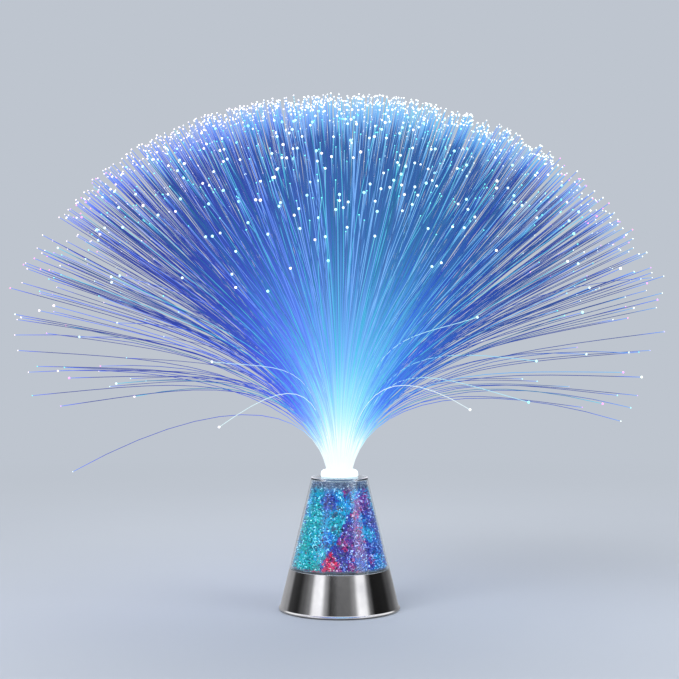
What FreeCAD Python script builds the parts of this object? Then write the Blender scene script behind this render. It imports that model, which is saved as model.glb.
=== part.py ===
import FreeCAD, Part
import math
import os
import re

import Sketcher

# Fibre optic lamp, battery powered, standing on four rubber feet.
#
# Frame: millimetres, +Z up, origin in the middle of the base on the table plane, front towards -Y.
#
# A conical metal skirt carries a clear chamber of crystals. A loose spray of light fibres, potted in
# a ferrule, drops into the chamber's guide tube and rests there on its collar. Under the skirt a
# plastic cover holds three cells behind a hinged door, and a slide switch.

# Driving dimensions, one cell of the sheet each.
SIZES = {
    # Skirt and the cone that it shares with the chamber
    "lip_flare": 0.4,               # lip of the skirt, beyond the cone at the table plane
    "lip_height": 1.4,
    "cone_top_radius": 18.5,        # outer cone at the chamber's top
    "body_height": 87.0,            # table plane to the chamber's top
    "skirt_height": 27.2,           # table plane to the skirt's top
    "skirt_wall": 1.2,
    "foot_stand": 0.8,              # table plane to the skirt's edge
    # Inner frame
    "deck_thickness": 2.0,
    "deck_gap": 0.2,
    "light_hole_radius": 8.0,
    "window_width": 6.0,
    "window_circle": 20.0,
    "cover_post_radius": 2.6,
    "cover_post_space": 0.65,       # between a post and the tray
    "skirt_space": 0.99,            # between a post and the skirt, under the deck
    "clip_gap": 0.1,                # round the board's edge in its clips
    "clip_wall": 1.2,
    "clip_catch": 0.8,
    "clip_width": 4.0,
    # Bottom cover and battery tray
    "cover_recess": 0.4,            # the cover's face above the skirt's edge
    "cover_thickness": 2.0,
    "cover_gap": 0.2,
    "foot_radius": 4.0,
    "foot_margin": 0.62,            # cover's rim to a foot
    "tray_wall": 1.2,
    "tray_rib": 0.5,
    "tray_rib_height": 3.0,
    "cell_radius": 5.25,
    "cell_length": 44.5,
    "cell_spacing": 0.7,            # between neighbouring cells
    "cell_clearance": 0.3,          # round the cells, above and below
    "cell_nub_radius": 1.9,
    "cell_nub_length": 1.0,
    "contact_thickness": 0.5,
    "contact_foot": 3.2,            # half of the height of a contact plate
    "contact_reach": 3.5,           # half of the width of a contact plate, on its cell
    "spring_length": 3.0,
    "spring_width": 4.0,
    "spring_knee": 0.9,             # half of the flat that presses on the cell
    "spring_foot": 0.7,             # height of the spring's ends, where they leave the plate
    "tongue_width": 3.0,
    # Battery door
    "door_gap": 0.3,
    "hook_width": 4.0,
    "hook_reach": 1.2,
    "hook_thickness": 1.1,
    "hook_slot_height": 2.2,
    "latch_width": 12.0,
    "latch_length": 8.0,
    "latch_slot": 0.8,
    "grip_depth": 0.4,
    "grip_width": 0.9,
    "grip_pitch": 2.2,
    "grip_length": 9.0,
    # Board and what stands on it
    "board_gap": 2.1,               # tray top to the board's underside
    "board_thickness": 1.6,
    "board_margin": 0.35,           # the board's flats beyond the contacts' tongues
    "led_width": 5.0,
    "led_height": 1.6,
    "main_led_width": 7.0,
    "chip_width": 6.0,
    "chip_length": 4.0,
    "chip_height": 1.5,
    "chip_place": 11.0,             # driver and resistors, to the two sides of the middle
    "resistor_width": 1.6,
    "resistor_length": 3.2,
    "resistor_height": 0.6,
    "resistor_pitch": 3.0,
    # Slide switch
    "switch_space": 1.0,            # between the tray and the switch
    "switch_width": 8.0,
    "switch_length": 13.0,
    "switch_height": 6.0,
    "switch_channel_width": 5.2,
    "switch_channel_length": 8.6,
    "switch_channel_height": 2.2,
    "switch_window_width": 3.4,
    "switch_window_length": 6.4,
    "switch_gap": 0.3,
    "knob_base_length": 5.0,
    "knob_stem_length": 2.8,
    "knob_floor": 0.5,              # table plane to the knob's end
    "knob_ridge": 0.3,
    "terminal_width": 1.6,
    "terminal_thickness": 0.5,
    "terminal_spacing": 6.0,
    "terminal_inset": 1.6,          # from the board's flat
    # Screws
    "screw_clearance": 0.05,
    "cover_screw_radius": 1.2,
    "cover_screw_head": 2.4,
    "cover_screw_head_height": 1.2,
    "cover_screw_grip": 8.0,        # how far the shank goes into its post
    # Chamber
    "chamber_wall": 0.8,
    "chamber_top": 1.6,
    "chamber_floor": 1.2,
    "floor_gap": 0.2,
    "tube_wall": 1.0,
    "crystal_gap": 0.4,             # between crystals and the walls round them
    "crystal_share": 0.95,          # each crystal against its share of the space
    "wander_share": 0.22,           # how far corners wander, as a share of a crystal
    "crystal_top_space": 0.9,       # bare space under the chamber's top
    # Spray
    "bundle_radius": 9.1,
    "ferrule_wall": 0.8,
    "ferrule_clearance": 0.3,
    "light_gap": 3.0,               # deck to the ferrule's end
    "seat_gap": 0.3,                # chamber top to the collar's seat
    "collar_ledge": 2.45,           # collar beyond the ferrule
    "collar_height": 4.6,
    "collar_shoulder": 2.2,
    "collar_brim": 0.7,             # flat rim left round the ferrule on top
    "root_inset": 0.4,              # the potting ends below the collar's top
    "fibre_width": 0.8,
    "rim_space": 0.1,               # between the outer fibres' feet and the collar
    "fibre_reach": 245.0,           # collar to the tip of an upright fibre
    "neck_angle": 13.0,             # lean of the outer ring where it leaves the collar
    "spread_angle": 23.0,           # lean that two tips in five stay within
    "rim_share": 0.997,             # share of the tips that lean less than the outermost
    "flare_angle": 42.0,            # lean past which fibres give way further
    "flare_share": 0.2,
    "open_angle": 46.0,             # at the front and the back, fibres lean little more than this
    "open_share": 0.85,             # share of the further lean that is held back there
    "sector_angle": 28.0,           # half the sector that is held back in full
    "fade_angle": 55.0,
    "droop_angle": 62.0,            # lean past which fibres sag
    "droop_share": 0.0125,          # share of the reach lost for each degree past it
    "lean_share": 0.9,              # of the step from ring to ring
    "trim_share": 0.04,             # of the reach
}

# Levels and places that follow from the driving dimensions.
PLACES = {
    "cell_pitch": "2 * cell_radius + cell_spacing",
    "tray_half_width": "1.5 * cell_pitch",
    "tray_half_length": "cell_length / 2 + contact_thickness + spring_length / 2",
    "deck_top": "skirt_height",
    "deck_bottom": "deck_top - deck_thickness",
    # The skirt is as wide as the cells and the posts at their ends need
    "cover_post_circle": "tray_half_length + tray_wall + cover_post_space + cover_post_radius",
    "post_level_radius": "cover_post_circle + cover_post_radius + skirt_space + skirt_wall",
    "cone_slope": "(post_level_radius - cone_top_radius) / (body_height - deck_bottom)",
    "cone_base_radius": "cone_top_radius + cone_slope * body_height",
    "lip_radius": "cone_base_radius + lip_flare",
    "skirt_bottom": "foot_stand",
    "lip_top": "skirt_bottom + lip_height",
    "deck_radius": "cone_base_radius - cone_slope * deck_top - skirt_wall - deck_gap",
    "cover_bottom": "skirt_bottom + cover_recess",
    "cover_top": "cover_bottom + cover_thickness",
    "cover_radius": "cone_base_radius - cone_slope * cover_top - skirt_wall - cover_gap",
    "foot_circle": "cover_radius - foot_margin - foot_radius",
    "cell_axis": "cover_top + cell_clearance + cell_radius",
    "tray_ceiling": "cell_axis + cell_radius + cell_clearance",
    "tray_top": "tray_ceiling + tray_wall",
    "contact_face": "tray_half_length - contact_thickness",
    "door_half_length": "tray_half_length - door_gap",
    "door_half_width": "tray_half_width - door_gap",
    "hook_offset": "cell_pitch / 2",
    "board_bottom": "tray_top + board_gap",
    "board_top": "board_bottom + board_thickness",
    "board_half_width": "tray_half_length + board_margin",
    "switch_centre": "tray_half_width + tray_wall + switch_space + switch_width / 2",
    "terminal_place": "board_half_width - terminal_inset",
    "cover_post_length": "deck_bottom - cover_top",
    "clip_reach": "board_half_width + clip_gap",
    "knob_travel": "switch_window_length - knob_stem_length - 2 * switch_gap",
    "ceiling": "body_height - chamber_top",
    "ferrule_radius": "bundle_radius + ferrule_wall",
    "tube_bore": "ferrule_radius + ferrule_clearance",
    "tube_radius": "tube_bore + tube_wall",
    "floor_top": "skirt_height + chamber_floor",
    "floor_radius": "cone_base_radius - cone_slope * floor_top - chamber_wall - floor_gap",
    "ferrule_bottom": "deck_top + light_gap",
    "collar_radius": "ferrule_radius + collar_ledge",
    "collar_seat": "body_height + seat_gap",
    "collar_top": "collar_seat + collar_height",
    "root_top": "collar_top - root_inset",
}

COVER_POSTS = 2
CLIPS = 4
FEET = 4
FOOT_SIDES = 12
CELLS = (-1, 0, 1)              # places of the cells along X, in pitches
CRYSTAL_LEDS = 3
CRYSTAL_LAYERS = 5
CRYSTALS_ROUND = 12
WIDE_LAYERS = 2                 # the lower layers hold more than one ring of crystals
WIDE_RINGS = 2
FIBRE_RINGS = 7
FIBRE_SEGMENTS = 3
BENT_RINGS = 2                  # the outermost rings bend the most, so their fibres have a segment more
LEAN_STRIDE = 4                 # neighbours in a ring take their lean from places this far apart in the spread
LEAN_START = 8
GOLDEN = (math.sqrt(5) - 1) / 2

doc = FreeCAD.newDocument("fibre_optic_lamp")
sheet = doc.addObject("Spreadsheet::Sheet", "Sizes")
for row, (alias, number) in enumerate(SIZES.items(), start=1):
    sheet.set(f"A{row}", str(number))
    sheet.setAlias(f"A{row}", alias)
doc.recompute()

subparts = []


# ---------------------------------------------------------------- formulas


def bound(formula):
    """A size formula in terms of the sheet's own cells."""

    def written_out(match):
        word = match.group()
        if word in SIZES:
            return "Sizes." + word
        if word in PLACES:
            return "(" + bound(PLACES[word]) + ")"
        return word

    return re.sub(r"[a-z][a-z_]*", written_out, str(formula))


def value(formula):
    """The number that a size formula gives now."""
    return float(sheet.evalExpression(bound(formula)))


def cone(level, inset="0"):
    """Formula of the outer cone's radius at a level, less an inset."""
    return f"(cone_base_radius - cone_slope * ({level}) - ({inset}))"


def on_circle(radius, angle):
    """Formulas of the two coordinates of a place on a circle about the lamp's axis."""
    return f"({radius}) * cos({angle})", f"({radius}) * sin({angle})"


def scatter(number):
    """An even spread of shares from -0.5 to 0.5, one for each whole number."""
    return (number * GOLDEN) % 1.0 - 0.5


# ---------------------------------------------------------------- building blocks


def keep(piece, label):
    """Names a sub-part and puts it on the list of those to be written."""
    piece.Label = label
    subparts.append(piece)
    return piece


def new_body(label):
    return keep(doc.addObject("PartDesign::Body", label), label)


def origin_feature(body, role):
    return next(feature for feature in body.Origin.OriginFeatures if feature.Role == role)


def new_sketch(body, name, plane, level):
    """An empty sketch on one of the body's own planes, moved along its normal to a level."""
    sketch = body.newObject("Sketcher::SketchObject", name)
    sketch.AttachmentSupport = [(origin_feature(body, plane), "")]
    sketch.MapMode = "FlatFace"
    sketch.setExpression("AttachmentOffset.Base.z", bound(level))
    return sketch


def fix(sketch, kind, formula, *place):
    """A dimension of the sketch, tied to the sheet."""
    index = sketch.addConstraint(Sketcher.Constraint(kind, *place, value(formula)))
    sketch.setExpression(f"Constraints[{index}]", bound(formula))


def outline(body, name, plane, corners, level="0"):
    """Closed straight-sided outline, each corner given as two formulas."""
    sketch = new_sketch(body, name, plane, level)
    points = [FreeCAD.Vector(value(x), value(y), 0) for x, y in corners]
    for start, end in zip(points, points[1:] + points[:1]):
        sketch.addGeometry(Part.LineSegment(start, end), False)
    for side, (x, y) in enumerate(corners):
        sketch.addConstraint(Sketcher.Constraint("Coincident", side, 2, (side + 1) % len(corners), 1))
        fix(sketch, "DistanceX", x, -1, 1, side, 1)
        fix(sketch, "DistanceY", y, -1, 1, side, 1)
    return sketch


def block(body, name, plane, low, high, level="0"):
    """Rectangular outline between two opposite corners."""
    (left, bottom), (right, top) = low, high
    corners = [(left, bottom), (right, bottom), (right, top), (left, top)]
    return outline(body, name, plane, corners, level)


def circles(body, name, rounds, level="0"):
    """Circles on the XY plane, each given as the formulas of its centre and radius."""
    sketch = new_sketch(body, name, "XY_Plane", level)
    for x, y, radius in rounds:
        centre = FreeCAD.Vector(value(x), value(y), 0)
        circle = Part.Circle(centre, FreeCAD.Vector(0, 0, 1), value(radius))
        index = sketch.addGeometry(circle, False)
        fix(sketch, "DistanceX", x, -1, 1, index, 3)
        fix(sketch, "DistanceY", y, -1, 1, index, 3)
        fix(sketch, "Radius", radius, index)
    return sketch


def extrude(body, kind, sketch, length, reverse=False, midplane=False):
    feature = body.newObject(kind, sketch.Name + "Solid")
    feature.Profile = sketch
    feature.Reversed = reverse
    feature.Midplane = midplane
    feature.setExpression("Length", bound(length))
    sketch.Visibility = False
    doc.recompute()
    return feature


def pad(body, sketch, length, reverse=False, midplane=False):
    return extrude(body, "PartDesign::Pad", sketch, length, reverse, midplane)


def cut_up(body, sketch, length):
    """Pocket from a sketch on a level plane, upwards."""
    return extrude(body, "PartDesign::Pocket", sketch, length, reverse=True)


def cut_across(body, sketch, length):
    """Pocket to both sides of a sketch."""
    return extrude(body, "PartDesign::Pocket", sketch, length, midplane=True)


def revolve(body, sketch):
    feature = body.newObject("PartDesign::Revolution", sketch.Name + "Solid")
    feature.Profile = sketch
    feature.ReferenceAxis = (sketch, ["V_Axis"])
    feature.Angle = 360
    doc.recompute()
    return feature


def repeat_round(body, features, count):
    """The features, evenly repeated about the lamp's axis."""
    pattern = body.newObject("PartDesign::PolarPattern", features[0].Name + "Round")
    pattern.Originals = features
    pattern.Axis = (origin_feature(body, "Z_Axis"), [""])
    pattern.Angle = 360
    pattern.Occurrences = count
    body.Tip = pattern
    doc.recompute()
    return pattern


def place(piece, x="0", y="0", z="0"):
    for axis, formula in zip("xyz", (x, y, z)):
        piece.setExpression(f"Placement.Base.{axis}", bound(formula))


def primitive(kind, name, sizes, x="0", y="0", z="0"):
    """A Part primitive with its sizes and place tied to the sheet."""
    piece = doc.addObject(kind, name)
    for prop, formula in sizes.items():
        piece.setExpression(prop, bound(formula))
    place(piece, x, y, z)
    return piece


def centred_box(name, width, length, height, x, y, z):
    sizes = {"Length": width, "Width": length, "Height": height}
    return primitive("Part::Box", name, sizes, f"({x}) - ({width}) / 2", f"({y}) - ({length}) / 2", z)


def cylinder(name, radius, height, x, y, z):
    return primitive("Part::Cylinder", name, {"Radius": radius, "Height": height}, x, y, z)


def fused(name, pieces):
    piece = doc.addObject("Part::MultiFuse", name)
    piece.Shapes = pieces
    return piece


def grouped(name, pieces):
    """Separate solids under one name."""
    piece = doc.addObject("Part::Compound", name)
    piece.Links = pieces
    return piece


# ---------------------------------------------------------------- base


def metal_skirt():
    body = new_body("metal_skirt")
    corners = [
        ("lip_radius", "skirt_bottom"),
        (cone("lip_top"), "lip_top"),
        (cone("skirt_height"), "skirt_height"),
        (cone("skirt_height", "skirt_wall"), "skirt_height"),
        (cone("skirt_bottom", "skirt_wall"), "skirt_bottom"),
    ]
    revolve(body, outline(body, "SkirtSection", "XZ_Plane", corners))


def inner_frame():
    """Deck inside the skirt's top, with posts for the cover's screws and clips for the board."""
    body = new_body("inner_frame")
    deck = circles(body, "Deck", [("0", "0", "deck_radius"), ("0", "0", "light_hole_radius")], "deck_bottom")
    pad(body, deck, "deck_thickness")

    bore = "cover_screw_radius + screw_clearance"
    rounds = [("0", "cover_post_circle", "cover_post_radius"), ("0", "cover_post_circle", bore)]
    post = pad(body, circles(body, "CoverPost", rounds, "deck_bottom"), "cover_post_length", reverse=True)
    repeat_round(body, [post], COVER_POSTS)

    hook_bottom = "board_bottom - clip_catch"
    corners = [
        ("clip_reach - clip_catch", "deck_bottom"),
        ("clip_reach + clip_wall", "deck_bottom"),
        ("clip_reach + clip_wall", hook_bottom),
        ("clip_reach - clip_catch", hook_bottom),
        ("clip_reach - clip_catch", "board_bottom"),
        ("clip_reach", "board_bottom"),
        ("clip_reach", "board_top"),
        ("clip_reach - clip_catch", "board_top"),
    ]
    clip = outline(body, "Clip", "XZ_Plane", corners)
    clip.AttachmentOffset = FreeCAD.Placement(FreeCAD.Vector(), FreeCAD.Rotation(FreeCAD.Vector(0, 1, 0), 45))
    repeat_round(body, [pad(body, clip, "clip_width", midplane=True)], CLIPS)

    low = ("-window_width / 2", "window_circle - window_width / 2")
    high = ("window_width / 2", "window_circle + window_width / 2")
    window = block(body, "Window", "XY_Plane", low, high, "deck_bottom")
    repeat_round(body, [cut_up(body, window, "deck_thickness")], CRYSTAL_LEDS)


def bottom_cover():
    """Disc that closes the skirt, with the battery tray moulded on its inner side."""
    body = new_body("bottom_cover")
    disc = circles(body, "Disc", [("0", "0", "cover_radius")], "cover_bottom")
    pad(body, disc, "cover_thickness")

    outer = ("tray_half_width + tray_wall", "tray_half_length + tray_wall")
    tray = block(body, "Tray", "XY_Plane", tuple(f"-({size})" for size in outer), outer, "cover_top")
    pad(body, tray, "tray_top - cover_top")
    inner = ("tray_half_width", "tray_half_length")
    cavity = block(body, "Cavity", "XY_Plane", tuple(f"-({size})" for size in inner), inner, "cover_bottom")
    cut_up(body, cavity, "tray_ceiling - cover_bottom")

    for side in (-1, 1):
        middle = f"{side} * cell_pitch / 2"
        low = (f"{middle} - tray_rib / 2", "spring_length - tray_half_length")
        high = (f"{middle} + tray_rib / 2", "tray_half_length - spring_length")
        rib = block(body, f"Rib{side + 1}", "XY_Plane", low, high, "tray_ceiling")
        pad(body, rib, "tray_rib_height", reverse=True)

        middle = f"{side} * hook_offset"
        low = (f"{middle} - hook_width / 2 - door_gap", "-tray_half_length - tray_wall")
        high = (f"{middle} + hook_width / 2 + door_gap", "-tray_half_length")
        slot = block(body, f"HookSlot{side + 1}", "XY_Plane", low, high, "cover_top")
        cut_up(body, slot, "hook_slot_height")

        low, high = tongue_section(side)
        slot = block(body, f"TongueSlot{side + 1}", "XY_Plane", low, high, "tray_ceiling")
        cut_up(body, slot, "tray_wall")

    low = ("switch_centre - switch_window_width / 2", "-switch_window_length / 2")
    high = ("switch_centre + switch_window_width / 2", "switch_window_length / 2")
    window = block(body, "SwitchWindow", "XY_Plane", low, high, "cover_bottom")
    cut_up(body, window, "cover_thickness")

    hole = circles(body, "ScrewHole", [("0", "cover_post_circle", "cover_screw_radius + screw_clearance")],
                   "cover_bottom")
    shaft = cut_up(body, hole, "cover_thickness")
    sink = body.newObject("PartDesign::SubtractiveCone", "Countersink")
    sink.AttachmentSupport = [(origin_feature(body, "XY_Plane"), "")]
    sink.MapMode = "FlatFace"
    sink.setExpression("AttachmentOffset.Base.y", bound("cover_post_circle"))
    sink.setExpression("AttachmentOffset.Base.z", bound("cover_bottom"))
    sink.setExpression("Radius1", bound("cover_screw_head + screw_clearance"))
    sink.setExpression("Radius2", bound("cover_screw_radius + screw_clearance"))
    sink.setExpression("Height", bound("cover_screw_head_height"))
    doc.recompute()
    repeat_round(body, [shaft, sink], COVER_POSTS)


def feet():
    """Rubber pads stuck to the cover."""
    for number in range(FEET):
        x, y = on_circle("foot_circle", 45 + 360 * number / FEET)
        foot = primitive("Part::Prism", f"Foot{number + 1}",
                         {"Circumradius": "foot_radius", "Height": "cover_bottom"}, x, y, "0")
        foot.Polygon = FOOT_SIDES
        keep(foot, f"foot_{number + 1}")


def battery_door():
    """Flush door; its two hooks reach into the tray's end wall, and it swings about its edge there."""
    body = new_body("battery_door")
    size = ("door_half_width", "door_half_length")
    plate = block(body, "Plate", "XY_Plane", tuple(f"-{half}" for half in size), size, "cover_bottom")
    pad(body, plate, "cover_thickness")

    edge = "-door_half_length"
    hook_bottom = "cover_top + door_gap"
    hook_top = "cover_top + door_gap + hook_thickness"
    corners = [
        (edge, "cover_top"),
        (f"{edge} + hook_reach", "cover_top"),
        (f"{edge} + hook_reach", hook_top),
        (f"{edge} - hook_reach", hook_top),
        (f"{edge} - hook_reach", hook_bottom),
        (edge, hook_bottom),
    ]
    for side in (-1, 1):
        hook = outline(body, f"Hook{side + 1}", "YZ_Plane", corners, f"{side} * hook_offset")
        pad(body, hook, "hook_width", midplane=True)

    # The latch is a tongue that two slots and the door's free edge leave standing
    for side in (-1, 1):
        low = (f"{side} * latch_width / 2 - latch_slot / 2", "door_half_length - latch_length")
        high = (f"{side} * latch_width / 2 + latch_slot / 2", "door_half_length")
        slot = block(body, f"LatchSlot{side + 1}", "XY_Plane", low, high, "cover_bottom")
        cut_up(body, slot, "cover_thickness")
    for groove in (-1, 0, 1):
        middle = f"door_half_length - latch_length / 2 + {groove} * grip_pitch"
        low = ("-grip_length / 2", f"{middle} - grip_width / 2")
        high = ("grip_length / 2", f"{middle} + grip_width / 2")
        sketch = block(body, f"Grip{groove + 1}", "XY_Plane", low, high, "cover_bottom")
        cut_up(body, sketch, "grip_depth")


# ---------------------------------------------------------------- power


def batteries():
    """Three cells side by side, the middle one turned end for end."""
    for number, step in enumerate(CELLS, start=1):
        body = new_body(f"battery_{number}")
        corners = [
            ("0", "0"),
            ("cell_radius", "0"),
            ("cell_radius", "cell_length - cell_nub_length"),
            ("cell_nub_radius", "cell_length - cell_nub_length"),
            ("cell_nub_radius", "cell_length"),
            ("0", "cell_length"),
        ]
        revolve(body, outline(body, f"CellSection{number}", "XY_Plane", corners))
        plus_end = 1 if step == 0 else -1
        if plus_end < 0:
            body.Placement = FreeCAD.Placement(FreeCAD.Vector(), FreeCAD.Rotation(180, 0, 0))
        place(body, f"{step} * cell_pitch", f"{plus_end} * (contact_face - cell_length)", "cell_axis")


def tongue_section(side):
    """Corners of the slot in the tray's ceiling that a contact's tongue passes through."""
    middle = f"{side} * (cell_pitch - tongue_width / 2)"
    low_x = f"{middle} - tongue_width / 2"
    high_x = f"{middle} + tongue_width / 2"
    if side < 0:
        return (low_x, "-tray_half_length"), (high_x, "-contact_face")
    return (low_x, "contact_face"), (high_x, "tray_half_length")


def contact(label, end, first_cell, last_cell, spring_cell=None, tongue_side=None):
    """Plate on the tray's end wall, from one cell to another, with a sprung arch and a tongue.

    end is -1 or 1 for the tray's end along Y. The arch presses on the flat end of its cell. The tongue
    goes up through the ceiling to the board.
    """
    body = new_body(label)
    low_x = f"{first_cell} * cell_pitch - contact_reach"
    high_x = f"{last_cell} * cell_pitch + contact_reach"
    inner, outer = f"{end} * contact_face", f"{end} * tray_half_length"
    low = (min(inner, outer, key=value), "cell_axis - contact_foot")
    high = (max(inner, outer, key=value), "cell_axis + contact_foot")
    plate = block(body, "Plate", "YZ_Plane", low, high, f"(({low_x}) + ({high_x})) / 2")
    pad(body, plate, f"({high_x}) - ({low_x})", midplane=True)

    if spring_cell is not None:
        arch = [
            ("0", "-contact_foot"),
            ("spring_length", "-spring_knee"),
            ("spring_length", "spring_knee"),
            ("0", "contact_foot"),
            ("0", "contact_foot - spring_foot"),
            ("spring_length - contact_thickness", "spring_knee - contact_thickness / 2"),
            ("spring_length - contact_thickness", "-(spring_knee - contact_thickness / 2)"),
            ("0", "-(contact_foot - spring_foot)"),
        ]
        corners = [(f"{end} * (contact_face - ({depth}))", f"cell_axis + {rise}") for depth, rise in arch]
        spring = outline(body, "Spring", "YZ_Plane", corners, f"{spring_cell} * cell_pitch")
        pad(body, spring, "spring_width", midplane=True)

    if tongue_side is not None:
        (left, _), (right, _) = tongue_section(tongue_side)
        section = block(body, "Tongue", "YZ_Plane", (low[0], "cell_axis + contact_foot"),
                        (high[0], "board_bottom"), f"(({left}) + ({right})) / 2")
        pad(body, section, "tongue_width", midplane=True)


def contacts():
    """The cells in series: plus terminal, two links and minus terminal."""
    contact("contact_positive", end=-1, first_cell=-1, last_cell=-1, tongue_side=-1)
    contact("contact_link_rear", end=1, first_cell=-1, last_cell=0, spring_cell=-1)
    contact("contact_link_front", end=-1, first_cell=0, last_cell=1, spring_cell=0)
    contact("contact_negative", end=1, first_cell=1, last_cell=1, spring_cell=1, tongue_side=1)


def led_board():
    """Octagonal board hung under the deck."""
    body = new_body("led_board")
    corners = []
    for number in range(8):
        corners.append(on_circle("board_half_width / cos(22.5)", 22.5 + 45 * number))
    pad(body, outline(body, "Octagon", "XY_Plane", corners, "board_bottom"), "board_thickness")


def leds():
    """Square surface-mounted LEDs: one under the bundle, the rest under the deck's windows."""
    keep(centred_box("FibreLed", "main_led_width", "main_led_width", "led_height", "0", "0", "board_top"),
         "fibre_led")
    for number in range(CRYSTAL_LEDS):
        x, y = on_circle("window_circle", 90 + 360 * number / CRYSTAL_LEDS)
        chip = centred_box(f"CrystalLed{number + 1}", "led_width", "led_width", "led_height", x, y, "board_top")
        keep(chip, f"crystal_led_{number + 1}")


def board_chips():
    """Colour driver and its resistors."""
    keep(centred_box("DriverChip", "chip_width", "chip_length", "chip_height", "0", "-chip_place", "board_top"),
         "driver_chip")
    resistors = []
    for number in range(CRYSTAL_LEDS):
        resistors.append(centred_box(f"Resistor{number + 1}", "resistor_width", "resistor_length", "resistor_height",
                                     f"{number - 1} * resistor_pitch", "chip_place", "board_top"))
    keep(grouped("resistors", resistors), "resistors")


# ---------------------------------------------------------------- switch


def switch_body():
    """Closed case on the cover's inner face, with a channel in its underside for the slider."""
    body = new_body("switch_body")
    x, half_width, half_length = "switch_centre", "switch_width / 2", "switch_length / 2"
    case = block(body, "Case", "XY_Plane", (f"{x} - {half_width}", f"-{half_length}"),
                 (f"{x} + {half_width}", half_length), "cover_top")
    pad(body, case, "switch_height")
    half_width, half_length = "switch_channel_width / 2", "switch_channel_length / 2"
    channel = block(body, "Channel", "XY_Plane", (f"{x} - {half_width}", f"-{half_length}"),
                    (f"{x} + {half_width}", half_length), "cover_top")
    cut_up(body, channel, "switch_channel_height")


def switch_knob():
    """Slider at the front end of its travel; the stem stands in the cover's window."""
    body = new_body("switch_knob")
    x = "switch_centre"
    y = "-knob_travel / 2"
    half_width, half_length = "(switch_channel_width / 2 - switch_gap)", "knob_base_length / 2"
    base = block(body, "Base", "XY_Plane", (f"{x} - {half_width}", f"{y} - {half_length}"),
                 (f"{x} + {half_width}", f"{y} + {half_length}"), "cover_top + switch_gap")
    pad(body, base, "switch_channel_height - 2 * switch_gap")
    half_width, half_length = "(switch_window_width / 2 - switch_gap)", "knob_stem_length / 2"
    stem = block(body, "Stem", "XY_Plane", (f"{x} - {half_width}", f"{y} - {half_length}"),
                 (f"{x} + {half_width}", f"{y} + {half_length}"), "knob_floor")
    pad(body, stem, "cover_top + switch_gap - knob_floor")
    for side in (-1, 1):
        middle = f"{y} + {side} * knob_stem_length / 4"
        corners = [
            (f"{middle} - knob_ridge", "knob_floor"),
            (f"{middle} + knob_ridge", "knob_floor"),
            (middle, "knob_floor + knob_ridge"),
        ]
        notch = outline(body, f"Notch{side + 1}", "YZ_Plane", corners, x)
        cut_across(body, notch, "switch_window_width")


def switch_terminals():
    """Strips from the switch up to the board."""
    strips = []
    for side in (-1, 1):
        strips.append(centred_box(f"Terminal{side + 1}", "terminal_thickness", "terminal_width",
                                  "board_bottom - cover_top - switch_height", "terminal_place",
                                  f"{side} * terminal_spacing / 2", "cover_top + switch_height"))
    keep(grouped("switch_terminals", strips), "switch_terminals")


def cover_screws():
    """Countersunk screws, driven up through the cover into the frame's posts."""
    screws = []
    for number in range(COVER_POSTS):
        x, y = on_circle("cover_post_circle", 90 + 360 * number / COVER_POSTS)
        head_sizes = {
            "Radius1": "cover_screw_head",
            "Radius2": "cover_screw_radius",
            "Height": "cover_screw_head_height",
        }
        head = primitive("Part::Cone", f"ScrewHead{number + 1}", head_sizes, x, y, "cover_bottom")
        shank = cylinder(f"ScrewShank{number + 1}", "cover_screw_radius",
                         "cover_thickness - cover_screw_head_height + cover_screw_grip",
                         x, y, "cover_bottom + cover_screw_head_height")
        screws.append(fused(f"Screw{number + 1}", [head, shank]))
    keep(grouped("cover_screws", screws), "cover_screws")


# ---------------------------------------------------------------- chamber


def crystal_chamber():
    """Clear conical cup, mouth down on the skirt's top edge."""
    body = new_body("crystal_chamber")
    corners = [
        (cone("skirt_height"), "skirt_height"),
        ("cone_top_radius", "body_height"),
        ("tube_bore", "body_height"),
        ("tube_bore", "ceiling"),
        (cone("ceiling", "chamber_wall"), "ceiling"),
        (cone("skirt_height", "chamber_wall"), "skirt_height"),
    ]
    revolve(body, outline(body, "ChamberSection", "XZ_Plane", corners))


def chamber_base():
    """Clear floor of the chamber, moulded in one with the tube that the ferrule slides in."""
    body = new_body("chamber_base")
    corners = [
        ("tube_bore", "skirt_height"),
        ("floor_radius", "skirt_height"),
        ("floor_radius", "floor_top"),
        ("tube_radius", "floor_top"),
        ("tube_radius", "ceiling"),
        ("tube_bore", "ceiling"),
    ]
    revolve(body, outline(body, "BaseSection", "XZ_Plane", corners))


def triangle_solid(triangles):
    """Closed solid from its triangles, each of three points."""
    faces = [Part.Face(Part.makePolygon([a, b, c, a])) for a, b, c in triangles]
    solid = Part.Solid(Part.Shell(faces))
    if solid.Volume < 0:
        solid.reverse()
    return solid


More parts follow.
